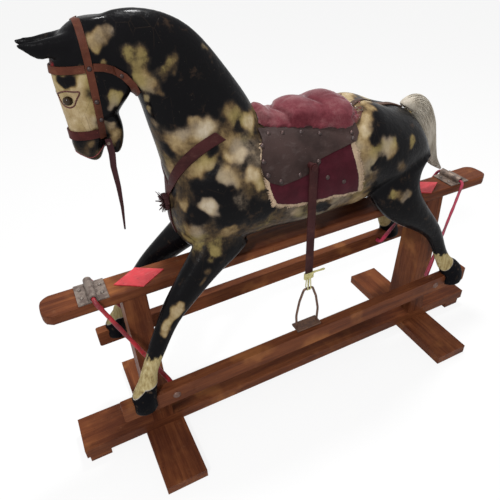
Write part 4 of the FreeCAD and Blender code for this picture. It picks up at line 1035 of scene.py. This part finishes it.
def make_rosette():
    """A boss of ragged leather: strips cut round a disc, curling away from the chest."""
    snip = random.Random(4)
    strips = []
    for layer, count in enumerate(RING_STRIPS):
        for number in range(count):
            angle = 2 * math.pi * (number + 0.5 * layer + snip.uniform(-0.2, 0.2)) / count
            out = Vector((0, math.cos(angle), math.sin(angle)))
            beside = Vector((0, -math.sin(angle), math.cos(angle)))
            length, curl = snip.uniform(0.015, 0.024) * (1 - 0.2 * layer), snip.uniform(0.15, 0.55)
            strip = flat_grid("strip", 1, STRIP_PARTS)
            for vertex in strip.data.vertices:
                part, edge = divmod(vertex.index, 2)
                share = part / STRIP_PARTS
                spot = ROSETTE_AT + out * (0.004 + length * share)
                spot += Vector((-0.0022 * layer - curl * length * share ** 2, 0, 0))
                width = STRIP_HALF * (1.1 - 0.55 * share) * (1 + 0.25 * math.sin(part * 2.1 + number))
                vertex.co = spot + beside * (width if edge else -width)
            strips.append(strip)
    fringe = joined("chest_fringe", strips)
    modify(fringe, "SOLIDIFY", thickness=0.0013, offset=0.0)
    modify(fringe, "SUBSURF", levels=1, render_levels=1)
    boss = worked("chest_boss", ("chest_rosette",), 0.0016, 5)
    for vertex in boss.data.vertices:
        spoke = math.atan2(vertex.co.z - ROSETTE_AT.z, vertex.co.y)
        reach = math.hypot(vertex.co.y, vertex.co.z - ROSETTE_AT.z)
        shrink = 0.80 + 0.07 * math.sin(9 * spoke) + 0.04 * math.sin(17 * spoke + 1)
        vertex.co.y *= shrink
        vertex.co.z = ROSETTE_AT.z + (vertex.co.z - ROSETTE_AT.z) * shrink
        vertex.co.x -= 0.0020 * max(0.0, 1 - reach / 0.012)
    finished(boss, DARK, replaced=("chest_rosette",))
    finished(fringe, DARK)


STRING_RADIUS, TURNS, POINTS_PER_TURN = 0.0014, 6, 16
# half width and half depth of the coil, and how far it reaches below and above the strap's end
COIL_HALF_WIDTH, COIL_HALF_DEPTH, COIL_BELOW, COIL_ABOVE = 0.0118, 0.0030, 0.005, 0.013


def make_string_tie():
    """String wound round the strap's end, two loops down to the stirrup, and a doubled loose end."""
    low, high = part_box("left_stirrup_tie")
    middle = Vector(((low[0] + high[0]) / 2, (low[1] + high[1]) / 2, 0))
    strap_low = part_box("left_stirrup_strap")[0][2]
    start, top, bar = strap_low - COIL_BELOW, strap_low + COIL_ABOVE, low[2] + 0.006
    coil = []
    for number in range(TURNS * POINTS_PER_TURN + 1):
        angle = 2 * math.pi * number / POINTS_PER_TURN
        across, deep = math.cos(angle), math.sin(angle)
        across = COIL_HALF_WIDTH * math.copysign(abs(across) ** 0.45, across)
        deep = COIL_HALF_DEPTH * math.copysign(abs(deep) ** 0.6, deep)
        rise = (top - start) * number / (TURNS * POINTS_PER_TURN)
        coil.append(middle + Vector((across, deep, start + rise)))
    loose_end = ((0.006, -0.0035, top - 0.004), (0.014, -0.006, top + 0.001),
                 (0.026, -0.007, top + 0.0015), (0.038, -0.006, top - 0.0005),
                 (0.039, -0.006, top + 0.0025), (0.026, -0.007, top + 0.0042),
                 (0.010, -0.0045, top + 0.0030))
    loop = ((0.0035, 0.003, start + 0.002), (0.0042, 0.0048, bar + 0.006), (0.0030, 0.0046, bar),
            (0.0028, 0, bar - 0.0046), (0.0030, -0.0046, bar), (0.0042, -0.0048, bar + 0.006),
            (0.0035, -0.003, start + 0.002))
    loops = [[(side * x, y, z) for x, y, z in loop] for side in (LEFT, RIGHT)]
    paths = [smooth_path([middle + Vector(spot) for spot in route]) for route in (loose_end, *loops)]
    tie = tubes("string_tie", [coil] + paths, STRING_RADIUS, sides=3)
    finished(tie, STRING, body="stirrup_strap", replaced=("left_stirrup_tie",))


# ---------------- floor and world
# how much of the floor's white shows in place of its shading, and the world's light on the object
FLOOR_SHOWN, WORLD_LIGHT = 0.86, 0.5


def seen_rays(tree):
    """1 for the rays that show the surroundings themselves, to the camera or through gloss and glass."""
    path = tree.nodes.new("ShaderNodeLightPath")
    seen = path.outputs["Is Camera Ray"]
    for kind in ("Is Glossy Ray", "Is Transmission Ray"):
        either = tree.nodes.new("ShaderNodeMath")
        either.operation = "MAXIMUM"
        tree.links.new(seen, either.inputs[0])
        tree.links.new(path.outputs[kind], either.inputs[1])
        seen = either.outputs[0]
    return seen


def make_floor():
    """A plain pale floor that shows nearly white and keeps the shadow."""
    finish = Finish("floor", Base_Color=(0.85, 0.85, 0.85), Roughness=0.9, Specular_IOR_Level=0.0)
    tree = finish.tree
    shown = tree.nodes.new("ShaderNodeMath")
    shown.operation = "MULTIPLY"
    shown.inputs[1].default_value = FLOOR_SHOWN
    glow = tree.nodes.new("ShaderNodeEmission")
    blend = tree.nodes.new("ShaderNodeMixShader")
    tree.links.new(seen_rays(tree), shown.inputs[0])
    tree.links.new(shown.outputs[0], blend.inputs[0])
    tree.links.new(finish.shader.outputs[0], blend.inputs[1])
    tree.links.new(glow.outputs[0], blend.inputs[2])
    tree.links.new(blend.outputs[0], tree.nodes["Material Output"].inputs["Surface"])
    bpy.ops.object.select_all(action="DESELECT")
    bpy.ops.mesh.primitive_plane_add(size=80, location=(0, 0, -0.0005))
    floor = bpy.context.object
    floor.name = "floor"
    floor.data.materials.append(finish.material)


def make_world():
    """White where it is seen, and a plain soft light on everything else."""
    world = bpy.data.worlds.new("world")
    bpy.context.scene.world = world
    world.use_nodes = True
    tree = world.node_tree
    background = tree.nodes["Background"]
    background.inputs["Color"].default_value = (1, 1, 1, 1)
    strength = tree.nodes.new("ShaderNodeMapRange")
    strength.inputs["To Min"].default_value = WORLD_LIGHT
    strength.inputs["To Max"].default_value = 1.0
    tree.links.new(seen_rays(tree), strength.inputs["Value"])
    tree.links.new(strength.outputs[0], background.inputs["Strength"])


# ---------------- the whole horse
place_camera()
place_lamps()
skin = surface_of(make_carving())
make_face_line("eye_lids", LID, LID_RADIUS, LID_RED, skin)
make_face_line("lip_line", LIPS, LIP_RADIUS, LIP_RED, skin)
make_cushion(skin)
make_saddle_cloth(LEFT, "left", skin)
make_saddle_cloth(RIGHT, "right", skin)
make_nails("saddle_nail_heads", "saddle_nails", 1.35)
make_nails("bridle_nail_heads", "bridle_studs", 1.15, surface_of(nodes["throat_latch"]))
make_crupper(skin)
make_iron("front_iron", "front_swing_iron", 0.0009, MAROON)
make_iron("rear_iron", "rear_swing_iron", 0.0019, CRIMSON)
make_tail()
make_rosette()
make_string_tie()
make_top_rail()
make_eyes()
for finish, names in (
        (GRAIN_X, "bottom_rail left_hoof_rail right_hoof_rail end_foot_blocks"),
        (GRAIN_Y, "front_cross_foot rear_cross_foot"), (GRAIN_Z, "front_post rear_post"),
        (DIAMOND_RED, "front_rail_diamond rear_rail_diamond"), (CAST, "front_bearing_bracket"),
        (DARKER_CAST, "rear_bearing_bracket"), (SCREW, "bracket_screws stand_screws"),
        (NUT, "front_iron_nuts rear_iron_nuts"), (STEEL, "bit"), (STIRRUP, "left_stirrup_iron"),
        (STRAP, "left_stirrup_hanger right_stirrup_hanger left_stirrup_strap"),
        (STRAP, "breast_strap martingale_strap"), (BRIDLE, "headstall browband throat_latch"),
        (NOSE, "noseband"), (DARK, "rein_strip"), (SADDLE, "left_saddle_flap right_saddle_flap"),
        (PAINT, "tail_plug")):
    for name in names.split():
        for holder in nodes[name].material_slots:
            holder.material = finish.material
make_floor()
make_world()
bpy.context.scene.view_settings.view_transform = "Standard"
